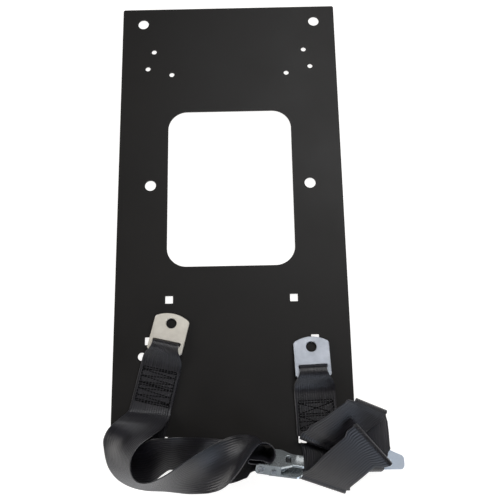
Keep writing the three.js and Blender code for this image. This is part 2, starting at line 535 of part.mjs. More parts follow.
// Closed ribbon: one six-sided section per station, capped at both ends.
function ribbon(table) {
  const last = table.length - 1;
  const points = [];
  const index = [];
  const firstEdge = table.map((row) => vec(...row.slice(0, 3)));
  const secondEdge = table.map((row) => vec(...row.slice(3)));
  const middle = firstEdge.map((p, i) => p.clone().add(secondEdge[i]).multiplyScalar(0.5));
  let previous = null;
  for (let i = 0; i <= last; i++) {
    const along = middle[Math.min(i + 1, last)].clone().sub(middle[Math.max(i - 1, 0)]);
    const across = secondEdge[i].clone().sub(firstEdge[i]);
    const width = across.length();
    across.normalize();
    const normal = across.clone().cross(along.normalize()).normalize();
    // keeps the same face up where the belt folds sharply
    if (previous && normal.dot(previous) < -0.5) normal.negate();
    previous = normal;
    const half = WEB_T / 2;
    const section = [   // distance across, distance off the centre surface
      [0, 0], [WEB_EDGE, half], [width - WEB_EDGE, half],
      [width, 0], [width - WEB_EDGE, -half], [WEB_EDGE, -half],
    ];
    for (const [s, off] of section) {
      const p = firstEdge[i].clone().addScaledVector(across, s).addScaledVector(normal, off);
      points.push(p.x, p.y, p.z);
    }
  }
  for (let i = 0; i < last; i++) {
    for (let k = 0; k < 6; k++) {
      const a = i * 6 + k;
      const b = i * 6 + (k + 1) % 6;
      index.push(a, b, b + 6, a, b + 6, a + 6);
    }
  }
  const end = last * 6;
  for (let k = 1; k < 5; k++) index.push(0, k + 1, k, end, end + k, end + k + 1);
  // reversing the whole list turns every triangle to face outwards
  if (signedVolume(points, index) < 0) index.reverse();
  const geometry = new THREE.BufferGeometry();
  geometry.setAttribute('position', new THREE.Float32BufferAttribute(points, 3));
  geometry.setIndex(index);
  return geometry;
}
add('left_webbing', ribbon(LEFT_RIBBON), 'web');
add('right_webbing', ribbon(RIGHT_RIBBON), 'web');

// ---------------------------------------------------------------- seams
const THREAD = { width: 0.55, height: 0.45, gap: 0.04 };   // gap: above the webbing
const SEAM_HALF = 20.5;

// Straight ridge of thread; overrun is its extra length in thread widths.
function stitch(x0, y0, x1, y1, overrun = 1) {
  const { width, height } = THREAD;
  const length = Math.hypot(x1 - x0, y1 - y0) + overrun * width;
  const box = new THREE.BoxGeometry(length, width, height);
  box.rotateZ(Math.atan2(y1 - y0, x1 - x0));
  return box.translate((x0 + x1) / 2, (y0 + y1) / 2, height / 2);
}

// Box-and-cross seam on the sewn double layer, joined into one ridge.
function seam({ hole, yaw, seamRows }) {
  const start = seamRows[0];
  const end = seamRows.at(-1);
  const ridge = unite([
    stitch(start, -SEAM_HALF, end, -SEAM_HALF),
    stitch(start, SEAM_HALF, end, SEAM_HALF),
    ...seamRows.map((x) => stitch(x, -SEAM_HALF, x, SEAM_HALF)),
    stitch(start, -SEAM_HALF, end, SEAM_HALF, 0.13),
    stitch(start, SEAM_HALF, end, -SEAM_HALF, 0.17),
  ]);
  return place(toGeometry(ridge), [...hole, SEWN_TOP + THREAD.gap], [0, 0, yaw - 90]);
}
add('left_anchor_seam', seam(LEFT_RUN), 'thread');
add('right_anchor_seam', seam(RIGHT_RUN), 'thread');

// ---------------------------------------------------------------- buckle of the left half
// Local frame: x along the buckle, y along its web bar, z square to its base.
const BUCKLE = { origin: [33.435, -194.421, 32.4], turn: [-70, 0, -8] };
const WALL = { outer: 28.1, thickness: 2.4, low: -5.4 };
const BASE = { z: 3, thickness: 2.5, edge: 0.3 };
const EAR = { outer: 15.3, thickness: 1.8, radius: 3.2 };
const LEVER = { half: 23, cheekT: 2, cheekRadius: 3.9, cheekFoot: 4.4 };
const WEB_BAR = { x: 0, z: 0, radius: 2.35, headRadius: 3.5, headHeight: 1.1 };
const LEVER_PIN = { x: 14, z: -1.2, radius: 2.2, headRadius: 3.1, headHeight: 1.0 };
const LATCH_PIN = { x: 24, z: -1.2, radius: 1, proud: 0.6 };
const CLEARANCE = 0.3;   // round the pins, and under their heads

const addBuckle = (name, geometry, colour) =>
  add(name, place(geometry, BUCKLE.origin, BUCKLE.turn), colour);
const bore = (pin) => roundHole(pin.x, pin.z, pin.radius + CLEARANCE);

function buckleBase() {
  const wide = WALL.outer;
  const narrow = 17.5;
  const corner = 1.5;
  const cornerX = 45.5;
  const cornerY = narrow - corner;
  const shape = new THREE.Shape();
  shape.moveTo(6.2, -wide);
  shape.lineTo(22, -wide);
  shape.lineTo(34, -narrow);
  shape.lineTo(cornerX, -narrow);
  shape.absarc(cornerX, -cornerY, corner, -Math.PI / 2, 0, false);
  shape.absarc(cornerX, cornerY, corner, 0, Math.PI / 2, false);
  shape.lineTo(34, narrow);
  shape.lineTo(22, wide);
  shape.lineTo(6.2, wide);
  shape.closePath();
  shape.holes.push(rectHole(6, 22, 1.2, 29.5, 0));   // latch window
  const { thickness, edge, z } = BASE;
  return sheet(shape, { thickness, edge, curveSegments: 8, bottom: z });
}

function buckleWalls() {
  const top = BASE.z + BASE.thickness;
  const profile = polygon([
    [-6, -3.2], [-4, -5], [19, WALL.low], [22, WALL.low + 2],
    [22, top], [-2.5, top], [-6, 3.4],
  ]);
  profile.holes.push(bore(WEB_BAR), bore(LEVER_PIN));
  return slabPair(profile, WALL.outer, WALL.thickness);
}

// Low ears that carry the latch pin.
function latchEars() {
  const { x, z } = LATCH_PIN;
  const top = BASE.z + 0.5;
  const profile = new THREE.Shape();
  profile.moveTo(x + EAR.radius, top);
  profile.lineTo(x - EAR.radius, top);
  profile.absarc(x, z, EAR.radius, Math.PI, 2 * Math.PI, false);
  profile.closePath();
  profile.holes.push(bore(LATCH_PIN));
  return slabPair(profile, EAR.outer, EAR.thickness, 10);
}

// Pin across the buckle with a flat head outside each wall.
function headedPin({ x, z, radius, headRadius, headHeight }) {
  const inner = WALL.outer + CLEARANCE;
  const outer = inner + headHeight;
  const half = [
    [radius, inner], [headRadius, inner], [headRadius, outer - 0.4],
    [headRadius - 0.3, outer], [0, outer],
  ];
  const mirrored = half.map(([r, y]) => [r, -y]).reverse();
  return lathe([...mirrored, ...half], 24).translate(x, 0, z);
}

function latchPin() {
  const { x, z, radius, proud } = LATCH_PIN;
  const end = EAR.outer + proud;
  return lathe([[0, -end], [radius, -end], [radius, end], [0, end]], 16).translate(x, 0, z);
}

// Cover plate with a turned, rounded finger tip and two cheeks round the lever pin.
function liftLever() {
  const profile = polygon([
    [8, -6.5], [8.4, -7.3], [9.6, -7.6], [38.5, -7.6], [41.8, -7.1], [44.4, -6.0],
    [46.8, -4.3], [45.7, -2.9], [43.4, -4.4], [41, -5.4], [38.2, -5.9], [8, -5.9],
  ]);
  const cover = toSolid(slab(profile, LEVER.half, 2 * LEVER.half));

  const outline = new THREE.Shape();
  outline.moveTo(0, -24);
  outline.lineTo(40, -24);
  outline.lineTo(40, -23.2);
  outline.quadraticCurveTo(47.5, -22, 47.5, -13);
  outline.lineTo(47.5, 13);
  outline.quadraticCurveTo(47.5, 22, 40, 23.2);
  outline.lineTo(40, 24);
  outline.lineTo(0, 24);
  outline.closePath();
  const options = { depth: 12, bevelEnabled: false, curveSegments: 8 };
  const trim = new THREE.ExtrudeGeometry(outline, options).translate(0, 0, -10);

  const { x, z } = LEVER_PIN;
  const foot = -6.1;
  const cheek = new THREE.Shape();
  cheek.moveTo(x - LEVER.cheekFoot, foot);
  cheek.lineTo(x + LEVER.cheekFoot, foot);
  cheek.absarc(x, z, LEVER.cheekRadius, 0, Math.PI, false);
  cheek.closePath();
  cheek.holes.push(bore(LEVER_PIN));
  const cheeks = slabPair(cheek, LEVER.half, LEVER.cheekT);
  return toGeometry(cheeks.reduce((sum, c) => sum.add(toSolid(c)), cover.intersect(toSolid(trim))));
}

// Pawl on the latch pin, its nose pointing into the latch window.
function latch() {
  const { x, z } = LATCH_PIN;
  const noseTop = BASE.z + 1.2;
  const profile = polygon([
    [x - 5.6, z + 1.0], [x - 5.6, z - 1.0], [x - 2, z - 2.6], [x + 4.5, z - 2.4],
    [x + 7.2, z + 0.6], [x + 7.2, noseTop], [x + 4.0, noseTop],
    [x + 3.6, z + 2.6], [x, z + 2.6],
  ]);
  profile.holes.push(bore(LATCH_PIN));
  return slab(profile, 10, 20);
}

// Torsion spring round the lever pin: a coil and one straight leg.
const SPRING = { radius: 3.35, wire: 0.5, start: 12.6, length: 5, turns: 3.5, points: 56 };

function spring(side) {
  const { x, z } = LEVER_PIN;
  const { radius, wire, start, length, turns, points } = SPRING;
  const path = [];
  for (let i = 0; i <= points; i++) {
    const part = i / points;
    const angle = Math.PI / 2 - part * turns * 2 * Math.PI;
    const y = side * (start + part * length);
    path.push(vec(x + radius * Math.cos(angle), y, z + radius * Math.sin(angle)));
  }
  const legY = side * (start + length);
  path.push(vec(x + 2, legY, z - radius - 0.05), vec(x + 8, legY, z - radius - 0.2));
  return new THREE.ExtrudeGeometry(polygon(ring(0, 0, wire, 6, 1)), {
    steps: 72,
    extrudePath: new THREE.CatmullRomCurve3(path, false, 'centripetal'),
    bevelEnabled: false,
  });
}

const frame = unite([buckleBase(), ...buckleWalls(), ...latchEars()]);
addBuckle('buckle_frame', toGeometry(frame), 'chrome');
addBuckle('buckle_web_bar', headedPin(WEB_BAR), 'steel');
addBuckle('buckle_lever_pin', headedPin(LEVER_PIN), 'steel');
addBuckle('buckle_latch_pin', latchPin(), 'steel');
addBuckle('buckle_lift_lever', liftLever(), 'chrome');
addBuckle('buckle_latch', latch(), 'steel');
addBuckle('buckle_spring_far', spring(1), 'steel');
addBuckle('buckle_spring_near', spring(-1), 'steel');

// ---------------------------------------------------------------- tongue of the right half
// Local frame: x along its bar, y along the blade, z square to it.
const TONGUE = {
  origin: [154.346, -205.124, 12.0], turn: [0, 10, 0],
  thickness: 2.5, edge: 0.4,
  middle: 4.5, half: 41, bladeHalf: 15, corner: 5,
};

function tonguePlate() {
  const { middle, half, bladeHalf, corner, thickness, edge } = TONGUE;
  const left = middle - half;
  const right = middle + half;
  const bladeLeft = middle - bladeHalf;
  const bladeRight = middle + bladeHalf;
  const shape = new THREE.Shape();
  shape.moveTo(left + corner, -2);
  shape.lineTo(right - corner, -2);
  shape.absarc(right - corner, 3, corner, -Math.PI / 2, 0, false);
  shape.lineTo(right, 9);
  shape.quadraticCurveTo(right, 12, right - 2.5, 14);
  shape.lineTo(bladeRight + 6, 21.5);
  shape.quadraticCurveTo(bladeRight, 25, bladeRight, 31);
  shape.lineTo(bladeRight, 54);
  shape.lineTo(bladeRight - 3.5, 58);
  shape.lineTo(bladeLeft + 3.5, 58);
  shape.lineTo(bladeLeft, 54);
  shape.lineTo(bladeLeft, 31);
  shape.quadraticCurveTo(bladeLeft, 25, bladeLeft - 6, 21.5);
  shape.lineTo(left + 2.5, 14);
  shape.quadraticCurveTo(left, 12, left, 9);
  shape.lineTo(left, 3);
  shape.absarc(left + corner, 3, corner, Math.PI, 1.5 * Math.PI, false);
  shape.holes.push(
    rectHole(50, 6.5, 1.6, middle, 5.25),   // webbing slot
    rectHole(15, 11, 1.5, middle, 45),      // window in the blade
  );
  const plate = sheet(shape, { thickness, edge, curveSegments: 8, bottom: -thickness / 2 });
  return place(plate, TONGUE.origin, TONGUE.turn);
}
add('tongue_plate', tonguePlate(), 'chrome');

export default group;
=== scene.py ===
# A back plate with its loose two-piece lap belt, lying on a floor just below z = 0.
# Shared frame in metres, +Z up. The left belt half starts at -x and the right one at +x, and
# both trail towards -y. Belt and sewing sizes are in millimetres, material sizes in metres.
import json
import math
import random
from collections import namedtuple

import bpy
import numpy as np
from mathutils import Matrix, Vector


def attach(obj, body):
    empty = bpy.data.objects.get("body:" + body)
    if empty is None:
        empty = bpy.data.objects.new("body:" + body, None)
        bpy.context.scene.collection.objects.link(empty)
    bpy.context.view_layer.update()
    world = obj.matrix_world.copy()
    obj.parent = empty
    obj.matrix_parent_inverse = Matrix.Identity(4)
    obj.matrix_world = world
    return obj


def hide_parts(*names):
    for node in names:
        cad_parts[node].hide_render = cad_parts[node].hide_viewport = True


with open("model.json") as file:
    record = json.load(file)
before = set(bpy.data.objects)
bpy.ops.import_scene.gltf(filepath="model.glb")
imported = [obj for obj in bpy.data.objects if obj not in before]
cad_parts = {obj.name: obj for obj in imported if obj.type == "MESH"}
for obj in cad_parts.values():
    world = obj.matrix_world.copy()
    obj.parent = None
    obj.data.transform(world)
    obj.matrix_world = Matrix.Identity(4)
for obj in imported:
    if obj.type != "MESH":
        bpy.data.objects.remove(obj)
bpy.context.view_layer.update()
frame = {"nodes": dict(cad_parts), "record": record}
nodes = frame["nodes"]
rng = random.Random(7)

MM_PER_M = 1000.0
BELT_WIDTH = 49.0
RIB_COUNT = 18
RIB_PITCH = BELT_WIDTH / RIB_COUNT

# Where a strap is sewn to itself. Lengths are measured from the anchor hole (x, y) along -y
# turned by yaw degrees about +z.
Seam = namedtuple("Seam", "hole yaw start end")
LEFT_SEAM = Seam(hole=(-73.7, -30.9), yaw=-13.14, start=57, end=99)
RIGHT_SEAM = Seam(hole=(96.2, -62.5), yaw=2.2, start=64, end=98)

# Stations along the middle surface of each strap: x, y, z of one long edge, then of the other.
LEFT_STATIONS = [
    (-128.48, -157.77, 4.00, -80.76, -168.91, 4.00),
    (-127.87, -155.16, 4.00, -80.15, -166.29, 4.00),
    (-127.11, -151.93, 4.00, -79.39, -163.07, 4.00),
    (-125.56, -145.28, 4.00, -77.84, -156.42, 4.00),
    (-123.48, -136.35, 4.00, -75.76, -147.49, 4.00),
    (-121.17, -126.45, 4.00, -73.45, -137.59, 4.00),
    (-118.93, -116.87, 4.00, -71.21, -128.01, 4.00),
    (-116.67, -106.54, 4.00, -68.67, -117.75, 4.00),
    (-114.35, -95.57, 4.00, -65.88, -106.89, 4.00),
    (-112.05, -85.51, 4.00, -63.49, -96.85, 4.00),
    (-109.83, -77.92, 4.00, -62.12, -89.06, 4.00),
    (-108.06, -73.83, 4.00, -61.90, -84.61, 4.00),
    (-106.07, -70.58, 4.00, -62.25, -80.81, 4.00),
    (-103.20, -67.07, 4.00, -63.26, -76.39, 4.00),
    (-100.35, -63.70, 4.00, -64.32, -72.11, 4.00),
    (-98.53, -60.93, 4.00, -64.74, -68.82, 4.00),
    (-97.14, -58.29, 4.00, -64.81, -65.84, 4.00),
    (-96.42, -56.03, 4.00, -64.46, -63.49, 4.00),
    (-95.92, -53.95, 4.30, -63.98, -61.41, 4.30),
    (-95.50, -52.40, 4.95, -63.68, -59.83, 4.95),
    (-95.17, -51.15, 5.90, -63.42, -58.56, 5.90),
    (-94.87, -49.88, 8.60, -63.12, -57.30, 8.60),
    (-95.03, -50.57, 11.40, -63.28, -57.98, 11.40),
    (-95.25, -51.58, 12.59, -63.53, -58.98, 12.59),
    (-95.57, -52.90, 13.50, -63.83, -60.31, 13.50),
    (-95.99, -54.57, 14.07, -64.20, -61.99, 14.07),
    (-96.59, -56.36, 14.30, -64.45, -63.87, 14.30),
    (-97.53, -58.17, 14.25, -64.41, -65.91, 14.25),
    (-98.76, -59.96, 13.90, -64.10, -68.06, 13.90),
    (-100.56, -61.84, 13.19, -63.32, -70.54, 13.19),
    (-102.51, -63.71, 12.20, -62.39, -73.07, 12.20),
    (-104.62, -65.77, 10.73, -61.41, -75.86, 10.73),
    (-106.47, -67.92, 9.20, -60.70, -78.60, 9.20),
    (-107.64, -70.19, 7.93, -60.67, -81.16, 7.93),
    (-108.49, -72.58, 6.90, -60.96, -83.68, 6.90),
    (-109.14, -74.94, 6.30, -61.42, -86.08, 6.30),
    (-109.72, -77.43, 5.95, -62.00, -88.57, 5.95),
    (-110.42, -80.39, 5.83, -62.69, -91.54, 5.83),
    (-111.20, -83.76, 5.85, -63.48, -94.90, 5.85),
    (-112.15, -87.83, 5.84, -64.43, -98.97, 5.84),
    (-113.23, -92.45, 5.84, -65.51, -103.59, 5.84),
    (-114.31, -97.07, 5.85, -66.59, -108.21, 5.85),
    (-115.34, -101.50, 5.85, -67.62, -112.64, 5.85),
    (-116.38, -105.94, 5.85, -68.66, -117.08, 5.85),
    (-117.41, -110.38, 5.85, -69.70, -121.52, 5.85),
    (-118.43, -114.75, 5.76, -70.79, -126.23, 5.78),
    (-119.44, -119.13, 5.67, -71.89, -130.95, 5.71),
    (-120.52, -123.69, 5.85, -72.80, -134.83, 5.85),
    (-121.44, -127.85, 6.17, -73.24, -136.90, 6.11),
    (-122.40, -132.13, 6.66, -73.57, -138.42, 6.50),
    (-124.21, -135.64, 7.61, -73.39, -140.12, 7.19),
    (-126.65, -138.57, 10.10, -73.99, -143.08, 8.81),
    (-129.15, -140.96, 13.09, -75.28, -146.18, 10.91),
    (-131.69, -143.61, 15.66, -76.60, -148.73, 12.98),
    (-134.63, -146.51, 18.26, -78.09, -151.30, 15.31),
    (-138.10, -149.67, 20.17, -79.49, -153.95, 17.83),
    (-142.13, -153.54, 21.14, -81.53, -156.85, 20.83),
    (-145.47, -157.81, 21.19, -84.79, -159.75, 24.13),
    (-147.85, -162.25, 20.42, -88.73, -162.88, 27.58),
    (-149.78, -166.82, 18.58, -92.84, -166.27, 31.22),
    (-150.53, -171.51, 16.27, -97.85, -169.93, 34.68),
    (-150.17, -176.14, 14.52, -102.90, -173.97, 37.48),
    (-149.62, -180.54, 13.23, -106.75, -178.22, 39.83),
    (-148.94, -184.97, 12.02, -109.73, -182.73, 42.00),
    (-148.00, -189.36, 11.04, -111.77, -187.24, 43.96),
    (-146.82, -193.56, 10.24, -112.77, -191.60, 45.83),
    (-145.22, -197.73, 9.50, -113.05, -195.97, 47.64),
    (-143.06, -201.78, 8.81, -112.80, -200.04, 49.19),
    (-140.28, -205.76, 8.12, -112.06, -203.77, 50.38),
    (-136.91, -209.63, 7.40, -110.81, -207.20, 51.38),
    (-133.06, -213.14, 6.69, -109.14, -210.10, 52.31),
    (-128.55, -216.21, 6.19, -107.08, -212.42, 53.02),
    (-123.52, -218.90, 5.90, -104.62, -214.23, 53.46),
    (-118.29, -221.13, 5.75, -101.81, -215.48, 53.75),
    (-112.65, -222.95, 5.70, -98.47, -216.17, 53.93),
    (-106.85, -224.28, 5.69, -94.69, -216.23, 54.05),
    (-101.02, -225.27, 5.78, -90.58, -215.67, 54.22),
    (-94.43, -225.92, 6.05, -85.59, -214.21, 54.37),
    (-87.80, -226.19, 6.46, -80.19, -211.95, 54.55),
    (-81.26, -226.51, 7.19, -74.61, -209.21, 54.81),
    (-76.20, -226.99, 8.01, -70.05, -206.65, 55.13),
    (-71.21, -227.56, 9.17, -65.36, -203.70, 55.36),
    (-66.22, -228.17, 10.72, -60.61, -200.52, 55.44),
    (-61.19, -228.80, 12.57, -55.87, -197.29, 55.43),
    (-55.83, -229.46, 14.98, -50.93, -193.91, 55.34),
    (-50.35, -229.80, 18.20, -46.02, -190.76, 54.79),
    (-44.91, -229.77, 21.82, -41.12, -187.89, 53.86),
    (-39.64, -229.61, 25.25, -36.21, -185.03, 52.75),
    (-33.18, -229.36, 29.32, -29.97, -181.27, 51.09),
    (-26.94, -228.81, 33.27, -23.72, -177.62, 49.15),
    (-21.04, -227.59, 37.05, -17.48, -174.41, 46.95),
    (-15.98, -226.20, 40.31, -11.55, -171.43, 44.77),
    (-11.20, -224.02, 43.48, -5.65, -169.03, 42.29),
    (-6.49, -220.99, 46.75, 0.07, -167.25, 39.25),
    (-1.94, -217.06, 50.21, 5.38, -166.21, 35.61),
    (2.54, -212.35, 53.76, 10.51, -165.73, 31.45),
    (6.97, -207.17, 57.00, 15.39, -165.71, 27.00),
    (11.09, -201.69, 59.72, 19.76, -165.97, 22.17),
    (15.16, -195.79, 62.15, 23.91, -166.65, 17.08),
    (19.43, -189.93, 63.77, 27.89, -168.25, 13.23),
    (23.68, -184.19, 62.87, 31.18, -171.23, 12.81),
    (27.87, -179.36, 62.36, 34.55, -174.06, 12.34),
    (31.93, -176.42, 61.77, 37.52, -175.97, 12.23),
    (36.54, -175.69, 61.39, 40.40, -176.72, 12.22),
    (40.81, -176.89, 61.26, 42.65, -177.19, 12.24),
    (44.51, -179.75, 61.25, 44.18, -177.99, 12.26),
    (47.25, -183.62, 61.20, 44.91, -178.89, 12.30),
    (48.20, -187.39, 60.90, 44.65, -179.76, 12.40),
    (47.98, -191.11, 60.38, 43.68, -180.50, 12.62),
    (46.16, -194.84, 59.66, 41.53, -181.04, 12.87),
    (43.12, -197.41, 59.36, 39.02, -180.94, 12.64),
    (37.83, -196.45, 58.62, 37.00, -179.59, 12.68),
    (32.40, -194.58, 58.36, 34.74, -177.98, 12.32),
    (29.20, -194.35, 58.23, 31.85, -177.74, 12.18),
    (26.38, -194.30, 58.16, 28.72, -177.70, 12.11),
    (23.18, -193.79, 58.18, 25.51, -177.19, 12.14),
    (20.44, -193.47, 58.16, 22.77, -176.87, 12.11),
    (18.74, -193.87, 57.93, 21.07, -177.27, 11.88),
    (17.86, -195.29, 57.37, 20.20, -178.69, 11.33),
    (18.32, -196.89, 56.82, 20.65, -180.30, 10.77),
    (19.84, -197.75, 56.59, 22.17, -181.15, 10.54),
    (23.01, -198.30, 56.55, 25.35, -181.70, 10.50),
    (26.77, -198.72, 56.59, 29.10, -182.12, 10.54),
    (29.96, -199.06, 56.62, 32.29, -182.46, 10.58),
    (32.71, -199.56, 56.59, 35.05, -182.96, 10.54),
    (34.96, -200.82, 56.24, 37.30, -184.22, 10.20),
    (35.64, -203.19, 55.42, 37.97, -186.60, 9.38),
    (34.33, -205.29, 54.60, 36.67, -188.70, 8.56),
    (31.82, -205.88, 54.26, 34.16, -189.29, 8.21),
    (28.53, -205.45, 54.64, 30.99, -189.04, 8.21),
    (24.85, -205.19, 54.16, 27.19, -188.59, 8.11),
    (22.09, -206.20, 51.26, 23.55, -188.72, 7.52),
    (19.42, -207.88, 46.89, 19.63, -188.95, 6.67),
    (16.45, -212.10, 47.06, 15.53, -185.81, 4.00),
    (12.27, -214.04, 42.14, 10.98, -183.21, 4.00),
    (7.55, -215.97, 37.14, 6.37, -179.56, 4.00),
    (2.66, -217.60, 31.94, 1.58, -176.14, 4.00),
    (-2.66, -218.93, 25.64, -3.82, -173.04, 4.00),
    (-8.18, -219.45, 18.98, -9.42, -170.65, 5.33),
    (-13.92, -218.89, 13.45, -15.22, -169.49, 7.55),
    (-20.05, -218.18, 9.66, -21.53, -168.72, 10.51),
    (-26.38, -217.31, 7.07, -28.07, -168.25, 14.07),
    (-32.77, -216.19, 5.25, -34.50, -167.98, 17.75),
    (-37.68, -215.24, 4.41, -39.25, -167.85, 20.71),
    (-42.64, -214.20, 4.04, -43.92, -167.81, 23.92),
    (-47.62, -212.99, 3.90, -48.54, -167.83, 27.05),
    (-52.61, -211.71, 3.60, -53.16, -167.65, 29.90),
    (-59.43, -208.92, 2.99, -59.25, -167.24, 33.37),
    (-66.30, -205.13, 2.77, -65.29, -167.44, 36.01),
    (-72.56, -203.01, 4.00, -71.24, -168.01, 37.13),
    (-77.05, -204.32, 2.48, -76.20, -167.99, 37.22),
    (-81.11, -207.05, 2.16, -81.10, -168.00, 36.38),
    (-85.21, -210.06, 2.04, -85.90, -168.25, 34.96),
    (-89.82, -213.98, 2.01, -90.81, -168.61, 32.95),
    (-94.51, -217.34, 2.63, -95.59, -170.11, 29.88),
    (-99.10, -218.46, 3.56, -100.40, -172.56, 26.64),
    (-103.12, -218.59, 3.89, -104.96, -173.73, 24.52),
    (-107.01, -218.82, 3.74, -109.60, -173.78, 22.98),
    (-110.61, -219.00, 3.38, -113.89, -173.71, 21.82),
    (-114.32, -219.09, 2.67, -118.16, -173.82, 21.03),
    (-117.98, -217.10, 2.59, -122.03, -175.87, 19.71),
]
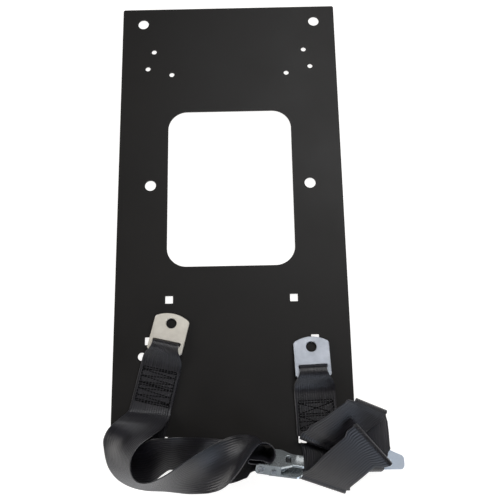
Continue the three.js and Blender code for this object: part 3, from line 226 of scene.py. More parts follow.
RIGHT_STATIONS = [
    (75.61, -164.87, 4.00, 124.58, -162.98, 4.00),
    (75.51, -162.08, 4.00, 124.47, -160.19, 4.00),
    (75.38, -158.87, 4.00, 124.35, -156.99, 4.00),
    (75.18, -153.46, 4.00, 124.14, -151.58, 4.00),
    (74.92, -146.90, 4.00, 123.89, -145.02, 4.00),
    (74.66, -140.13, 4.00, 123.63, -138.25, 4.00),
    (74.34, -134.34, 4.00, 123.50, -132.45, 4.00),
    (73.94, -128.19, 4.00, 123.43, -126.29, 4.00),
    (73.68, -122.33, 4.00, 123.24, -120.43, 4.00),
    (73.79, -117.40, 4.00, 122.75, -115.52, 4.00),
    (74.41, -113.12, 4.00, 121.81, -111.30, 4.00),
    (75.48, -109.33, 4.00, 120.45, -107.60, 4.00),
    (77.32, -105.18, 4.00, 118.30, -103.61, 4.00),
    (79.17, -101.18, 4.00, 116.15, -99.76, 4.00),
    (80.20, -98.03, 4.00, 114.87, -96.70, 4.00),
    (80.84, -95.11, 4.00, 114.02, -93.84, 4.00),
    (80.94, -92.74, 4.00, 113.74, -91.48, 4.00),
    (80.87, -90.61, 4.30, 113.64, -89.35, 4.30),
    (80.87, -89.00, 4.95, 113.52, -87.75, 4.95),
    (80.86, -87.71, 5.90, 113.43, -86.46, 5.90),
    (80.81, -86.41, 8.60, 113.38, -85.16, 8.60),
    (80.83, -87.11, 11.40, 113.41, -85.86, 11.40),
    (80.88, -88.14, 12.59, 113.44, -86.89, 12.59),
    (80.93, -89.51, 13.50, 113.50, -88.25, 13.50),
    (80.97, -91.23, 14.07, 113.59, -89.97, 14.07),
    (80.86, -93.11, 14.30, 113.84, -91.84, 14.30),
    (80.43, -95.11, 14.25, 114.42, -93.80, 14.25),
    (79.72, -97.16, 13.90, 115.29, -95.79, 13.90),
    (78.49, -99.45, 13.19, 116.70, -97.98, 13.19),
    (77.09, -101.76, 12.20, 118.26, -100.18, 12.20),
    (75.60, -104.31, 10.73, 119.94, -102.61, 10.73),
    (74.39, -106.87, 9.20, 121.35, -105.07, 9.20),
    (73.86, -109.37, 7.93, 122.07, -107.52, 7.93),
    (73.68, -111.90, 6.90, 122.44, -110.03, 6.90),
    (73.67, -114.35, 6.30, 122.64, -112.47, 6.30),
    (73.77, -116.90, 5.95, 122.74, -115.02, 5.95),
    (73.88, -119.93, 5.83, 122.86, -118.05, 5.83),
    (74.02, -123.40, 5.85, 122.99, -121.52, 5.85),
    (74.19, -127.85, 5.84, 123.16, -125.96, 5.84),
    (74.39, -132.95, 5.84, 123.35, -131.07, 5.84),
    (74.58, -138.05, 5.85, 123.55, -136.17, 5.85),
    (74.77, -142.94, 5.85, 123.74, -141.06, 5.85),
    (74.96, -147.82, 5.85, 123.92, -145.94, 5.85),
    (75.15, -152.71, 5.85, 124.11, -150.83, 5.85),
    (75.14, -158.32, 5.85, 124.23, -155.24, 5.85),
    (75.13, -163.94, 5.85, 124.35, -159.65, 5.85),
    (75.71, -167.36, 5.85, 124.67, -165.48, 5.85),
    (77.26, -166.98, 5.72, 125.33, -172.94, 5.80),
    (79.20, -165.11, 5.59, 126.11, -181.35, 5.76),
    (80.13, -164.61, 5.90, 126.48, -187.15, 5.90),
    (79.43, -166.56, 6.58, 126.19, -188.59, 6.18),
    (78.47, -168.74, 7.75, 125.78, -188.89, 6.68),
    (77.98, -169.97, 9.81, 125.57, -189.40, 7.54),
    (77.78, -170.46, 12.20, 125.49, -189.61, 8.55),
    (77.98, -169.97, 14.59, 125.57, -189.40, 9.56),
    (78.47, -168.74, 16.65, 125.78, -188.89, 10.42),
    (79.04, -166.78, 17.69, 125.99, -188.09, 10.74),
    (80.13, -164.61, 18.50, 126.48, -187.15, 11.20),
    (83.19, -162.53, 20.12, 127.98, -186.04, 13.41),
    (87.53, -160.73, 22.03, 130.21, -184.85, 16.54),
    (89.52, -157.24, 24.30, 135.26, -184.86, 18.70),
    (94.49, -154.44, 26.69, 138.53, -182.74, 19.83),
    (99.77, -151.50, 29.18, 142.11, -180.10, 20.06),
    (105.05, -148.57, 31.49, 145.70, -177.00, 20.01),
    (110.26, -145.31, 33.75, 149.50, -173.41, 19.79),
    (115.23, -141.88, 35.92, 153.55, -169.49, 19.16),
    (119.99, -138.63, 37.82, 157.97, -165.30, 18.18),
    (124.98, -135.32, 39.46, 163.16, -160.25, 16.64),
    (129.60, -132.11, 40.88, 168.90, -155.00, 14.65),
    (132.28, -129.37, 42.68, 175.62, -151.16, 12.02),
    (139.09, -130.86, 40.49, 177.52, -146.28, 13.33),
    (141.75, -130.72, 40.00, 181.14, -143.64, 12.60),
    (142.53, -128.37, 38.97, 181.87, -141.42, 11.63),
    (142.85, -127.40, 36.50, 182.18, -140.51, 9.30),
    (142.53, -128.37, 34.03, 181.87, -141.42, 6.97),
    (141.75, -130.72, 33.00, 181.14, -143.64, 6.00),
    (140.51, -134.09, 31.08, 181.10, -145.93, 6.33),
    (138.89, -138.61, 28.43, 181.35, -148.82, 7.28),
    (137.00, -143.17, 26.23, 182.10, -152.32, 7.97),
    (135.90, -148.86, 23.89, 182.32, -157.65, 8.81),
    (135.20, -154.76, 21.91, 182.51, -163.79, 9.61),
    (134.75, -160.78, 20.30, 182.58, -169.68, 10.30),
    (134.43, -166.87, 19.18, 182.59, -174.81, 10.80),
    (134.22, -173.06, 18.47, 182.61, -179.71, 11.13),
    (134.04, -178.71, 18.08, 182.72, -184.33, 11.32),
    (137.17, -183.08, 17.49, 180.05, -187.80, 11.73),
    (138.58, -186.90, 17.34, 179.18, -191.29, 11.81),
    (138.93, -190.14, 17.60, 178.17, -193.57, 11.90),
    (137.63, -192.25, 18.48, 177.28, -193.89, 12.08),
    (136.31, -194.12, 19.14, 176.20, -194.12, 12.11),
    (136.62, -196.72, 18.05, 173.84, -196.41, 11.37),
    (137.39, -199.12, 16.61, 171.86, -199.12, 10.54),
    (137.33, -201.74, 16.25, 171.79, -201.74, 10.17),
    (137.08, -201.88, 14.85, 171.55, -201.88, 8.77),
    (136.80, -202.01, 13.27, 171.27, -202.01, 7.19),
    (136.59, -203.38, 12.06, 171.06, -203.38, 5.98),
    (136.49, -205.12, 11.49, 170.96, -205.12, 5.42),
    (136.59, -206.87, 12.06, 171.06, -206.87, 5.98),
    (136.80, -208.24, 13.27, 171.27, -208.24, 7.19),
    (137.07, -208.68, 14.62, 171.48, -208.63, 8.58),
    (137.33, -208.51, 16.25, 171.79, -208.51, 10.17),
    (137.70, -207.30, 19.29, 172.75, -207.60, 12.65),
    (137.38, -204.62, 22.30, 173.64, -206.12, 14.89),
    (134.92, -200.06, 24.14, 173.59, -204.33, 16.17),
    (131.40, -194.03, 25.49, 173.16, -202.27, 16.92),
    (129.36, -187.85, 27.00, 173.34, -200.71, 17.50),
    (129.89, -182.54, 28.90, 174.61, -199.88, 17.97),
    (131.63, -177.11, 30.92, 176.39, -199.46, 18.30),
    (133.58, -171.49, 32.50, 177.83, -199.68, 18.50),
    (135.89, -163.80, 33.39, 178.50, -201.46, 18.42),
    (138.10, -157.64, 34.00, 179.16, -202.82, 18.50),
    (140.06, -155.86, 35.10, 181.12, -201.04, 19.60),
    (140.87, -155.12, 37.75, 181.94, -200.30, 22.25),
    (140.06, -155.86, 40.40, 181.12, -201.04, 24.90),
    (138.10, -157.64, 41.50, 179.16, -202.82, 26.00),
    (134.82, -160.29, 41.31, 175.32, -203.76, 26.38),
    (130.32, -163.86, 40.34, 169.95, -204.52, 26.37),
    (127.84, -169.81, 38.28, 162.66, -203.66, 26.72),
    (122.50, -174.04, 36.48, 158.03, -206.48, 25.67),
    (116.99, -178.65, 34.19, 153.71, -209.90, 24.15),
    (111.41, -183.34, 31.61, 149.65, -213.27, 22.39),
    (107.10, -186.99, 29.45, 146.70, -215.64, 20.89),
    (102.75, -190.79, 27.08, 143.82, -217.97, 19.22),
    (98.50, -194.52, 24.64, 141.09, -220.21, 17.47),
    (94.61, -198.07, 22.24, 138.47, -222.23, 15.76),
    (90.69, -201.88, 19.52, 135.79, -224.42, 13.79),
    (86.63, -205.29, 16.86, 133.72, -226.62, 11.77),
    (80.85, -207.14, 14.86, 133.82, -228.99, 9.94),
    (77.94, -208.93, 13.31, 131.28, -229.03, 8.99),
    (75.22, -210.21, 12.20, 129.82, -229.44, 8.20),
    (74.34, -212.75, 11.09, 129.04, -231.72, 7.20),
    (73.98, -213.80, 8.40, 128.71, -232.66, 4.80),
    (74.34, -212.75, 5.71, 129.04, -231.72, 2.40),
    (75.22, -210.21, 4.60, 129.82, -229.44, 1.40),
    (76.34, -207.20, 4.62, 128.98, -225.29, 2.43),
    (78.89, -203.97, 4.87, 126.67, -219.57, 3.93),
    (79.87, -200.09, 4.73, 127.09, -214.48, 4.38),
    (80.72, -195.73, 4.43, 128.14, -209.01, 4.51),
    (81.19, -191.47, 4.20, 129.07, -204.24, 4.50),
    (81.10, -186.98, 4.12, 129.70, -200.18, 4.32),
    (80.67, -182.52, 4.10, 130.12, -196.88, 4.10),
    (79.98, -178.50, 4.10, 130.41, -194.58, 4.08),
    (79.44, -174.48, 4.10, 130.36, -192.47, 4.10),
]


# ------------------------------------------------------------------ shader helpers
class Nodes:
    """Short ways to add and wire the nodes of an emptied shader tree."""

    def __init__(self, tree):
        self.tree = tree
        tree.nodes.clear()

    def add(self, kind, **settings):
        node = self.tree.nodes.new(kind)
        for key, value in settings.items():
            setattr(node, key, value)
        return node

    def feed(self, value, socket):
        """Link an output, or set a number or an opaque colour."""
        if isinstance(value, bpy.types.NodeSocket):
            self.tree.links.new(value, socket)
        else:
            socket.default_value = (*value, 1.0) if isinstance(value, tuple) else value

    def calc(self, operation, first, second=0.0, clamp=False):
        node = self.add("ShaderNodeMath", operation=operation, use_clamp=clamp)
        self.feed(first, node.inputs[0])
        self.feed(second, node.inputs[1])
        return node.outputs[0]

    def times(self, first, second):
        return self.calc("MULTIPLY", first, second)

    def plus(self, first, second):
        return self.calc("ADD", first, second)

    def noise(self, vector, scale, detail=2.0, rough=0.5):
        node = self.add("ShaderNodeTexNoise")
        self.feed(vector, node.inputs["Vector"])
        node.inputs["Scale"].default_value = scale
        node.inputs["Detail"].default_value = detail
        node.inputs["Roughness"].default_value = rough
        return node.outputs[0]

    def ramp(self, factor, *stops):
        """Colour ramp through stops of (position, colour)."""
        node = self.add("ShaderNodeValToRGB")
        self.feed(factor, node.inputs[0])
        elements = node.color_ramp.elements
        while len(elements) < len(stops):
            elements.new(0.5)
        for element, (position, colour) in zip(elements, stops):
            element.position = position
            element.color = (*colour, 1.0)
        return node.outputs[0]

    def remap(self, factor, span, to):
        node = self.add("ShaderNodeMapRange")
        self.feed(factor, node.inputs[0])
        for i, value in enumerate(span + to):
            node.inputs[i + 1].default_value = value
        return node.outputs[0]

    def mix(self, factor, first, second):
        node = self.add("ShaderNodeMix", data_type="RGBA")
        for i, value in ((0, factor), (6, first), (7, second)):
            self.feed(value, node.inputs[i])
        return node.outputs[2]

    def bump(self, height, strength, distance, normal=None):
        node = self.add("ShaderNodeBump")
        self.feed(height, node.inputs["Height"])
        node.inputs["Strength"].default_value = strength
        node.inputs["Distance"].default_value = distance
        if normal is not None:
            self.feed(normal, node.inputs["Normal"])
        return node.outputs[0]

    def coords(self):
        return self.add("ShaderNodeTexCoord").outputs["Object"]

    def scaled(self, vector, scale):
        node = self.add("ShaderNodeMapping")
        self.feed(vector, node.inputs[0])
        node.inputs["Scale"].default_value = scale
        return node.outputs[0]

    def edge(self, radius):
        """0 on flat faces, rising where the surface turns sharply."""
        bevel = self.add("ShaderNodeBevel", samples=4)
        bevel.inputs["Radius"].default_value = radius
        geometry = self.add("ShaderNodeNewGeometry")
        dot = self.add("ShaderNodeVectorMath", operation="DOT_PRODUCT")
        self.feed(bevel.outputs[0], dot.inputs[0])
        self.feed(geometry.outputs["Normal"], dot.inputs[1])
        return self.calc("SUBTRACT", 1.0, dot.outputs["Value"], clamp=True)


class Material(Nodes):
    """A material with one principled shader."""

    def __init__(self, name):
        self.material = bpy.data.materials.new(name)
        self.material.use_nodes = True
        super().__init__(self.material.node_tree)
        output = self.add("ShaderNodeOutputMaterial")
        self.shader = self.add("ShaderNodeBsdfPrincipled")
        self.feed(self.shader.outputs[0], output.inputs[0])

    def set(self, **inputs):
        """Fill shader inputs, with _ for the spaces in their names."""
        for key, value in inputs.items():
            self.feed(value, self.shader.inputs[key.replace("_", " ")])
        return self.material


def darker(colour, red, green, blue):
    return (colour[0] * red, colour[1] * green, colour[2] * blue)


# ------------------------------------------------------------------ materials
def powder_coat():
    """Near-black grained coat with paler worn edges."""
    t = Material("powder_coat")
    place = t.coords()
    fine = t.noise(place, scale=1500.0, rough=0.55)
    middle = t.noise(place, scale=420.0, detail=3.0, rough=0.6)
    broad = t.noise(place, scale=9.0, detail=3.0, rough=0.6)
    grain = t.plus(t.times(fine, 0.55), t.times(middle, 0.6))
    base = t.ramp(broad, (0.25, (0.0064, 0.0052, 0.0045)), (0.75, (0.0094, 0.0078, 0.0068)))
    speck = t.remap(middle, span=(0.62, 0.72), to=(0.0, 0.35))
    base = t.mix(speck, base, (0.014, 0.0135, 0.013))
    edges = t.remap(t.edge(radius=0.0006), span=(0.04, 0.35), to=(0.0, 0.8))
    patches = t.noise(place, scale=60.0, detail=4.0, rough=0.7)
    wear = t.times(edges, t.remap(patches, span=(0.35, 0.75), to=(0.1, 1.0)))
    return t.set(
        Base_Color=t.mix(wear, base, (0.055, 0.05, 0.047)),
        Roughness=t.remap(broad, span=(0.3, 0.7), to=(0.47, 0.55)),
        Normal=t.bump(grain, strength=0.35, distance=0.00018),
        Specular_IOR_Level=0.3)


def zinc(name, colour, dark, rough=0.42):
    """Clouded, pitted plating with rolling marks and rubbed edges."""
    t = Material(name)
    place = t.coords()
    rolling = t.noise(t.scaled(place, (1.0, 0.12, 1.0)), scale=1400.0, rough=0.6)
    cloud = t.noise(place, scale=70.0, detail=4.0, rough=0.62)
    base = t.ramp(cloud, (0.3, dark), (0.66, colour))
    pits = t.remap(t.noise(place, scale=900.0), span=(0.66, 0.74), to=(0.0, 0.28))
    base = t.mix(pits, base, darker(dark, 0.7, 0.7, 0.7))
    rub = t.remap(t.edge(radius=0.0005), span=(0.05, 0.4), to=(0.0, 0.55))
    return t.set(
        Base_Color=t.mix(rub, base, (0.86, 0.86, 0.85)),
        Roughness=t.remap(cloud, span=(0.3, 0.7), to=(rough + 0.06, rough - 0.06)),
        Normal=t.bump(t.plus(t.times(rolling, 0.5), t.times(cloud, 0.4)),
                      strength=0.16, distance=0.00012),
        Metallic=0.35)


def bright():
    """Smooth plating with fine scratches along x."""
    t = Material("bright_plating")
    colour = (0.70, 0.75, 0.765)
    place = t.coords()
    cloud = t.noise(place, scale=55.0, detail=4.0, rough=0.6)
    scratch = t.remap(t.noise(t.scaled(place, (0.15, 1.0, 1.0)), scale=1800.0),
                      span=(0.6, 0.72), to=(0.0, 1.0))
    return t.set(
        Base_Color=t.ramp(cloud, (0.3, darker(colour, 0.86, 0.88, 0.9)), (0.7, colour)),
        Roughness=t.plus(t.remap(cloud, span=(0.3, 0.7), to=(0.12, 0.22)),
                         t.times(scratch, 0.12)),
        Normal=t.bump(t.plus(cloud, t.times(scratch, 0.06)), strength=0.12, distance=0.0003),
        Metallic=0.7)


def steel(name, colour, rough):
    t = Material(name)
    place = t.coords()
    cloud = t.noise(place, scale=160.0, detail=4.0, rough=0.6)
    fine = t.noise(place, scale=2200.0)
    return t.set(
        Base_Color=t.ramp(cloud, (0.3, darker(colour, 0.7, 0.7, 0.72)), (0.7, colour)),
        Roughness=t.remap(cloud, span=(0.3, 0.7), to=(rough - 0.05, rough + 0.08)),
        Normal=t.bump(fine, strength=0.15, distance=0.00008),
        Metallic=1.0)


def webbing():
    """Black polyester seat-belt weave. UV is (across, along) in units of 10 mm."""
    diagonal_pitch = 1.15
    yarn_pitch = 0.5
    t = Material("belt_webbing")
    uv = t.add("ShaderNodeUVMap").outputs[0]
    split = t.add("ShaderNodeSeparateXYZ")
    t.feed(uv, split.inputs[0])
    across = t.times(split.outputs[0], 10.0)
    along = t.times(split.outputs[1], 10.0)
    # herringbone floats: the weave's diagonal turns over at each rib
    fold = t.calc("PINGPONG", across, RIB_PITCH / 2)
    slant = t.plus(along, t.times(fold, 0.9))
    twill = t.calc("SINE", t.times(slant, math.tau / diagonal_pitch))
    yarn = t.calc("SINE", t.times(across, math.tau / yarn_pitch))
    rib = t.calc("COSINE", t.times(across, math.tau / RIB_PITCH))
    weave = t.plus(t.times(twill, 0.5), t.times(yarn, 0.22))
    # lengthwise streaks
    drawn = t.add("ShaderNodeCombineXYZ")
    t.feed(t.times(across, 1.0), drawn.inputs[0])
    t.feed(t.times(along, 0.03), drawn.inputs[1])
    streak = t.noise(drawn.outputs[0], scale=0.62, detail=3.0, rough=0.7)
    place = t.coords()
    cloud = t.noise(place, scale=26.0, detail=4.0, rough=0.6)
    fuzz = t.noise(place, scale=900.0, rough=0.6)
    base = t.ramp(streak, (0.34, (0.0020, 0.0019, 0.0028)), (0.66, (0.0185, 0.0158, 0.0240)))
    # painted shade: the valleys between the ribs are darkened
    groove_shade = t.remap(rib, span=(-1.0, 0.3), to=(0.65, 0.0))
    base = t.mix(groove_shade, base, (0.0016, 0.0016, 0.0022))
    dust = t.remap(cloud, span=(0.35, 0.75), to=(0.0, 0.4))
    base = t.mix(dust, base, (0.016, 0.0145, 0.0165))
    # painted shade in the low points of the weave
    weave_shade = t.remap(weave, span=(-0.7, 0.5), to=(0.45, 0.0))
    base = t.mix(weave_shade, base, (0.006, 0.006, 0.007))
    # painted sheen: the stitched field is painted paler than the rest, most strongly on the right
    # strap
    sewn = t.add("ShaderNodeAttribute", attribute_name="sewn")
    base = t.mix(t.times(sewn.outputs["Fac"], 0.75), base, (0.115, 0.104, 0.130))
    rough = t.plus(t.remap(streak, span=(0.3, 0.7), to=(0.26, 0.36)), t.times(fuzz, 0.06))
    height = t.plus(t.times(weave, 0.5), t.times(rib, 0.25))
    woven = t.bump(height, strength=0.5, distance=0.00016)
    return t.set(
        Base_Color=base,
        Roughness=rough,
        Normal=t.bump(fuzz, strength=0.12, distance=0.0001, normal=woven),
        Specular_IOR_Level=0.62,
        Sheen_Weight=0.12,
        Sheen_Roughness=0.35,
        Sheen_Tint=(0.62, 0.68, 0.85),
        Anisotropic=0.35)


def thread(name, colour):
    """Twisted sewing thread."""
    t = Material(name)
    place = t.coords()
    mottle = t.noise(place, scale=1300.0, detail=3.0, rough=0.6)
    base = t.ramp(mottle, (0.3, darker(colour, 0.5, 0.5, 0.5)), (0.7, colour))
    twist = t.add("ShaderNodeTexWave", wave_type="BANDS", bands_direction="DIAGONAL")
    t.feed(place, twist.inputs["Vector"])
    twist.inputs["Scale"].default_value = 900.0
    return t.set(
        Base_Color=base,
        Normal=t.bump(twist.outputs[1], strength=0.4, distance=0.00012),
        Roughness=0.6,
        Specular_IOR_Level=0.12)


MATERIALS = {
    "plate": powder_coat(),
    "anchor_warm": zinc("anchor_zinc_warm", colour=(0.73, 0.685, 0.60), dark=(0.62, 0.575, 0.50)),
    "anchor_cool": zinc("anchor_zinc_cool", colour=(0.49, 0.515, 0.565), dark=(0.38, 0.405, 0.45)),
    "webbing": webbing(),
    "thread": thread("belt_thread", colour=(0.0022, 0.002, 0.0026)),
    "bright": bright(),
    "tongue": zinc("tongue_zinc", colour=(0.80, 0.87, 0.96), dark=(0.70, 0.78, 0.88), rough=0.34),
    "pins": steel("pin_steel", colour=(0.55, 0.57, 0.59), rough=0.28),
    "spring": steel("spring_wire", colour=(0.42, 0.43, 0.45), rough=0.3),
}

# every CAD node takes the finish of its slot; the hard parts are smoothed between sharp edges
slots = {part["node"]: part["material_slot"] for part in frame["record"]["subparts"]}
for name, node in nodes.items():
    mesh = node.data
    mesh.materials.clear()
    mesh.materials.append(MATERIALS["tongue" if name == "tongue_plate" else slots[name]])
    if name not in ("left_webbing", "right_webbing"):
        for polygon in mesh.polygons:
            polygon.use_smooth = True
        mesh.set_sharp_from_angle(angle=math.radians(30.0))


def add_object(name, data):
    thing = bpy.data.objects.new(name, data)
    bpy.context.scene.collection.objects.link(thing)
    return thing


def piece(name, verts, faces, slot, body, cad, uv=None):
    """Smooth mesh that moves with a body and stands in for one CAD node."""
    mesh = bpy.data.meshes.new(name)
    mesh.from_pydata([tuple(v) for v in verts], [], [tuple(f) for f in faces])
    mesh.validate()
    if uv is not None:
        layer = mesh.uv_layers.new(name="UVMap")
        corners = np.empty(len(mesh.loops), np.int32)
        mesh.loops.foreach_get("vertex_index", corners)
        layer.data.foreach_set("uv", uv[corners].astype(np.float32).ravel())
    mesh.materials.append(MATERIALS[slot])
    for polygon in mesh.polygons:
        polygon.use_smooth = True
    mesh.update()
    thing = add_object(name, mesh)
    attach(thing, body)
    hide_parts(cad)
    return thing


# ------------------------------------------------------------------ straps
STATION_STEP = 1.1
COLUMNS_PER_RIB = 5
HALF_THICKNESS = 0.70
RIB_RELIEF = 0.13
SELVEDGE_ROUNDING = 0.9
THINNEST_HALF = 0.16
END_ROUNDING = 1.6
SEWN_LAYER = (5.2, 6.6)    # heights between which the sewn layer lies
SEWN_FADE = 3              # length over which the sewn field fades out
PUCKER = 0.07


def spline(points, knots, at):
    """Cubic through the rows of points at knots, read at the given lengths."""
    gaps = np.diff(knots)
    slopes = np.diff(points, axis=0) / gaps[:, None]
    tangents = np.zeros_like(points)
    tangents[1:-1] = ((slopes[:-1] * gaps[1:, None] + slopes[1:] * gaps[:-1, None])
                      / (gaps[1:] + gaps[:-1])[:, None])
    tangents[0], tangents[-1] = slopes[0], slopes[-1]
    i = np.clip(np.searchsorted(knots, at, side="right") - 1, 0, len(knots) - 2)
    gap = gaps[i]
    x = (at - knots[i]) / gap
    x2, x3 = x * x, x * x * x
    return ((2 * x3 - 3 * x2 + 1)[:, None] * points[i]
            + ((x3 - 2 * x2 + x) * gap)[:, None] * tangents[i]
            + (-2 * x3 + 3 * x2)[:, None] * points[i + 1]
            + ((x3 - x2) * gap)[:, None] * tangents[i + 1])


def round_off(distance, radius, least):
    """Quarter-circle rise from an edge, 1 beyond the radius."""
    return np.sqrt(np.clip(1 - (1 - np.clip(distance / radius, 0, 1)) ** 2, least, 1.0))


def sewn_field(points, seam):
    """Weight of the sewn area at each point, and the puckering between its stitches."""
    yaw = math.radians(seam.yaw)
    x, y, z = points[:, :, 0] - seam.hole[0], points[:, :, 1] - seam.hole[1], points[:, :, 2]
    u = x * math.sin(yaw) - y * math.cos(yaw)
    v = x * math.cos(yaw) + y * math.sin(yaw)
    weight = (np.clip((u - seam.start + SEWN_FADE) / SEWN_FADE, 0, 1)
              * np.clip((seam.end + SEWN_FADE - u) / SEWN_FADE, 0, 1)
              * (z > SEWN_LAYER[0]) * (z < SEWN_LAYER[1]))
    # two crossed waves of unlike length, and a slanted one
    waves = (np.sin(math.tau * u / 3.1 + 1.4 * np.sin(v * 0.55))
             * np.sin(math.tau * v / 4.3 + 1.1 * np.sin(u * 0.7))
             + 0.6 * np.sin(math.tau * (u + v) / 5.3 + 2.0 * np.sin(v * 0.21)))
    return weight, weight * (PUCKER * waves - PUCKER)


def strap(side, stations, seam, painted_sheen):
    """Woven strap: ribs along its length, rounded selvedges and square-cut ends."""
    table = np.array(stations, float)
    centres = (table[:, :3] + table[:, 3:]) / 2
    steps = np.linalg.norm(np.diff(centres, axis=0), axis=1)
    knots = np.r_[0.0, np.cumsum(np.maximum(steps, 0.4))]
    length = knots[-1]
    rows = int(length / STATION_STEP)
    columns = RIB_COUNT * COLUMNS_PER_RIB + 1
    along = np.linspace(0, length, rows)
    edges = spline(table, knots, along)
    first, second = edges[:, None, :3], edges[:, None, 3:]
    share = np.linspace(0.0, 1.0, columns)
    middle = first * (1 - share)[None, :, None] + second * share[None, :, None]
    normal = np.cross(np.broadcast_to(second - first, middle.shape), np.gradient(middle, axis=0))
    normal /= np.maximum(np.linalg.norm(normal, axis=2, keepdims=True), 1e-9)

    across = share * BELT_WIDTH
    half = HALF_THICKNESS + RIB_RELIEF * np.cos(math.tau * across / RIB_PITCH)
    half = half * round_off(np.minimum(across, BELT_WIDTH - across), SELVEDGE_ROUNDING, 0.0)
    half = np.maximum(half, THINNEST_HALF)
    ends = round_off(np.minimum(along, length - along), END_ROUNDING, 0.06)
    weight, pucker = sewn_field(middle, seam)
    lift = normal * (half[None, :] * ends[:, None] + pucker)[:, :, None]
    verts = np.concatenate([(middle + lift).reshape(-1, 3), (middle - lift).reshape(-1, 3)])
    verts = verts / MM_PER_M

    under = rows * columns
    grid = np.arange(under).reshape(rows, columns)
    a, b, c, d = (part.ravel() for part in
                  (grid[:-1, :-1], grid[:-1, 1:], grid[1:, 1:], grid[1:, :-1]))
    faces = [np.stack([a, b, c, d], 1), np.stack([a, d, c, b], 1) + under]
    # long edges, then cut ends
    for rim, flip in ((grid[:, 0], False), (grid[:, -1], True),
                      (grid[0], True), (grid[-1], False)):
        quads = np.stack([rim[:-1], rim[1:], rim[1:] + under, rim[:-1] + under], 1)
        faces.append(quads[:, ::-1] if flip else quads)
    faces = np.concatenate(faces)
    # a negative volume means the faces look inwards
    p, q, r, s = verts[faces].transpose(1, 0, 2)
    volume = (p * np.cross(q, r)).sum() + (p * np.cross(r, s)).sum()
    if volume < 0:
        faces = faces[:, ::-1]

    uv = np.stack(np.meshgrid(across, along), 2).reshape(-1, 2) / 10.0
    uv = np.concatenate([uv, uv + np.array([1.0, 0.0])])
    thing = piece(f"{side}_belt_webbing", verts, faces.tolist(), "webbing",
                  f"{side}_belt", f"{side}_webbing", uv=uv)
    # painted sheen strength over the sewn field, read by the webbing material
    sewn = thing.data.attributes.new("sewn", "FLOAT", "POINT")
    field = (weight * painted_sheen).ravel()
    sewn.data.foreach_set("value", np.concatenate([field, field * 0]).astype(np.float32))


# the right strap's sewn field gets the full painted sheen, the left one less
strap("left", LEFT_STATIONS, LEFT_SEAM, painted_sheen=0.40)
strap("right", RIGHT_STATIONS, RIGHT_SEAM, painted_sheen=1.0)

# ------------------------------------------------------------------ sewing, stitch by stitch
STITCH_Z = 6.72
STITCH_RADIUS = 0.52
STITCH_PITCH = 3.6
STITCH_LENGTH = 3.15
STITCH_RINGS = 7
STITCH_SIDES = 8
SEAM_HALF_WIDTH = 20.5


def stitch(u, v, angle, length):
    """Points (u, v, z) of one stitch: an arched, taper-ended tube."""
    along_u, along_v = math.cos(angle), math.sin(angle)
    for ring in range(STITCH_RINGS):
        s = -1 + 2 * ring / (STITCH_RINGS - 1)
        taper = 0.35 if abs(s) > 0.99 else (0.8 if abs(s) > 0.6 else 1.0)
        radius = STITCH_RADIUS * taper
        z = STITCH_Z + 0.26 * (1 - s * s) - 0.10 * abs(s) ** 3
        ring_u, ring_v = u + along_u * s * length / 2, v + along_v * s * length / 2
        for i in range(STITCH_SIDES):
            turn = i / STITCH_SIDES * 2 * math.pi
            yield (ring_u - along_v * radius * math.cos(turn),
                   ring_v + along_u * radius * math.cos(turn),
                   z + radius * math.sin(turn))


def sewing(side, seam, lines):
    """Rows of stitches along lines of (u0, v0, u1, v1), u along the strap and v across it."""
    yaw = math.radians(seam.yaw)
    along = Vector((math.sin(yaw), -math.cos(yaw), 0))
    across = Vector((math.cos(yaw), math.sin(yaw), 0))
    up = Vector((0, 0, 1))
    hole = Vector((*seam.hole, 0))
    verts, faces = [], []
    for u0, v0, u1, v1 in lines:
        run = math.hypot(u1 - u0, v1 - v0)
        count = max(1, round(run / STITCH_PITCH))
        du, dv = (u1 - u0) / count, (v1 - v0) / count
        for i in range(count):
            u = u0 + du * (i + 0.5) + rng.uniform(-0.12, 0.12)
            v = v0 + dv * (i + 0.5) + rng.uniform(-0.12, 0.12)
            angle = math.atan2(dv, du) + rng.uniform(-0.05, 0.05)
            length = min(STITCH_LENGTH, run / count * 0.86) * rng.uniform(0.94, 1.04)
            base = len(verts)
            for pu, pv, z in stitch(u, v, angle, length):
                verts.append((hole + along * pu + across * pv + up * z) / MM_PER_M)
            last = base + (STITCH_RINGS - 1) * STITCH_SIDES
            for ring in range(base, last, STITCH_SIDES):
                after = ring + STITCH_SIDES
                for q in range(STITCH_SIDES):
                    r = (q + 1) % STITCH_SIDES
                    faces.append((ring + q, after + q, after + r, ring + r))
            faces.append(tuple(base + q for q in range(STITCH_SIDES)))
            faces.append(tuple(last + q for q in reversed(range(STITCH_SIDES))))
    piece(f"{side}_anchor_stitching", verts, faces, "thread", f"{side}_belt",
          f"{side}_anchor_seam")


def ladder(seam, rungs):
    """Both long sides of the seam, then rungs across it."""
    w = SEAM_HALF_WIDTH
    sides = [(seam.start, v, seam.end, v) for v in (-w, w)]
    return sides + [(u, -w, u, w) for u in rungs]


# left: rungs crossed by a zigzag from end to end
ZIGZAGS = 11
left_lines = ladder(LEFT_SEAM, (57, 59.4, 76.5, 79, 96.6, 99))
span = LEFT_SEAM.end - LEFT_SEAM.start
for i in range(ZIGZAGS):
    u = LEFT_SEAM.start + span * i / ZIGZAGS
    v = SEAM_HALF_WIDTH if i % 2 else -SEAM_HALF_WIDTH
    left_lines.append((u, -v, u + span / ZIGZAGS, v))
sewing("left", LEFT_SEAM, left_lines)

# right: rungs and two crossed boxes
right_lines = ladder(RIGHT_SEAM, (64, 66.6, 79.4, 82, 88.2, 95.4, 98))
for u0, u1 in ((66.6, 79.4), (82, 95.4)):
    for v in (SEAM_HALF_WIDTH, -SEAM_HALF_WIDTH):
        right_lines.append((u0, -v, u1, v))
sewing("right", RIGHT_SEAM, right_lines)


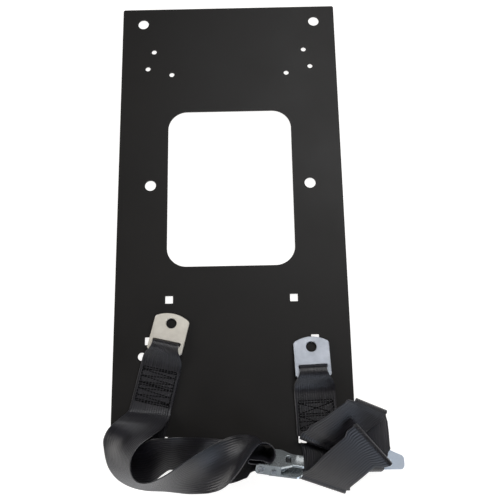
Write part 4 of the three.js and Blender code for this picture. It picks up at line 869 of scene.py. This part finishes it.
# ------------------------------------------------------------------ floor, light, camera
def studio_floor(half=12, z=-0.0003):
    mesh = bpy.data.meshes.new("floor")
    corners = [(-half, -half, z), (half, -half, z), (half, half, z), (-half, half, z)]
    mesh.from_pydata(corners, [], [(0, 1, 2, 3)])
    floor = add_object("floor", mesh)
    mesh.materials.append(Material("studio_floor").set(
        Base_Color=(0.45, 0.45, 0.45), Roughness=0.9, Specular_IOR_Level=0.1,
        Emission_Color=(1.0, 0.985, 0.965), Emission_Strength=0.86))


def studio_world():
    """Dim banded surroundings; seen directly, the backdrop is as pale as the floor."""
    world = bpy.data.worlds.new("studio")
    bpy.context.scene.world = world
    world.use_nodes = True
    t = Nodes(world.node_tree)
    output = t.add("ShaderNodeOutputWorld")
    dim = t.add("ShaderNodeBackground")
    direction = t.add("ShaderNodeTexCoord").outputs["Generated"]
    split = t.add("ShaderNodeSeparateXYZ")
    t.feed(direction, split.inputs[0])
    # from the horizon to straight up
    bands = t.ramp(split.outputs[2],
                   (0.0, (0.85, 0.86, 0.88)), (0.28, (0.42, 0.43, 0.46)),
                   (0.6, (0.9, 0.91, 0.93)), (1.0, (0.62, 0.63, 0.65)))
    t.feed(bands, dim.inputs["Color"])
    t.feed(0.05, dim.inputs["Strength"])
    pale = t.add("ShaderNodeBackground")
    t.feed((1.0, 0.985, 0.965), pale.inputs["Color"])
    t.feed(0.92, pale.inputs["Strength"])
    ray = t.add("ShaderNodeLightPath")
    pick = t.add("ShaderNodeMixShader")
    t.feed(ray.outputs["Is Camera Ray"], pick.inputs[0])
    t.feed(dim.outputs[0], pick.inputs[1])
    t.feed(pale.outputs[0], pick.inputs[2])
    t.feed(pick.outputs[0], output.inputs[0])


def area(name, place, target, size, power, colour):
    """Rectangular light at a place, aimed at a target."""
    light = bpy.data.lights.new(name, "AREA")
    light.energy = power
    light.color = colour
    light.shape = "RECTANGLE"
    light.size, light.size_y = size
    lamp = add_object(name, light)
    lamp.location = place
    lamp.rotation_mode = "QUATERNION"
    lamp.rotation_quaternion = (Vector(target) - Vector(place)).to_track_quat("-Z", "Y")


def camera():
    data = bpy.data.cameras.new("camera")
    data.sensor_width = 36.0
    data.lens = 54.36
    data.clip_start = 0.01
    data.clip_end = 20.0
    thing = add_object("camera", data)
    thing.location = (0.0285, -0.1959, 0.9191)
    thing.rotation_mode = "XYZ"
    thing.rotation_euler = [math.radians(angle) for angle in (15.68, 0.56, -1.0)]
    bpy.context.scene.camera = thing


studio_floor()
studio_world()
ORIGIN, BELT = (0, 0, 0), (0, -0.1, 0)
# name, place, target, (width, height), power, colour
for light_row in (
    ("back_mid", (0.27, 0.95, 1.5), ORIGIN, (0.7, 0.7), 8.5, (0.96, 0.98, 1.0)),
    ("back_right", (1.0, 0.75, 1.45), ORIGIN, (0.7, 0.7), 10, (1.0, 0.985, 0.97)),
    ("front_right", (0.75, -1.35, 1.25), BELT, (0.9, 0.9), 8.5, (0.72, 0.83, 1.0)),
    ("left", (-1.4, -0.1, 0.7), BELT, (0.8, 0.8), 11, (1.0, 0.98, 0.95)),
    ("low_front", (0.0, -1.5, 0.45), BELT, (1.0, 0.5), 4.5, (1.0, 0.99, 0.97)),
    ("front_left", (-0.75, -1.35, 1.25), BELT, (0.9, 0.9), 1.5, (1.0, 0.98, 0.95)),
):
    area(*light_row)
camera()
bpy.context.scene.view_settings.view_transform = "Standard"
bpy.context.scene.view_settings.look = "None"
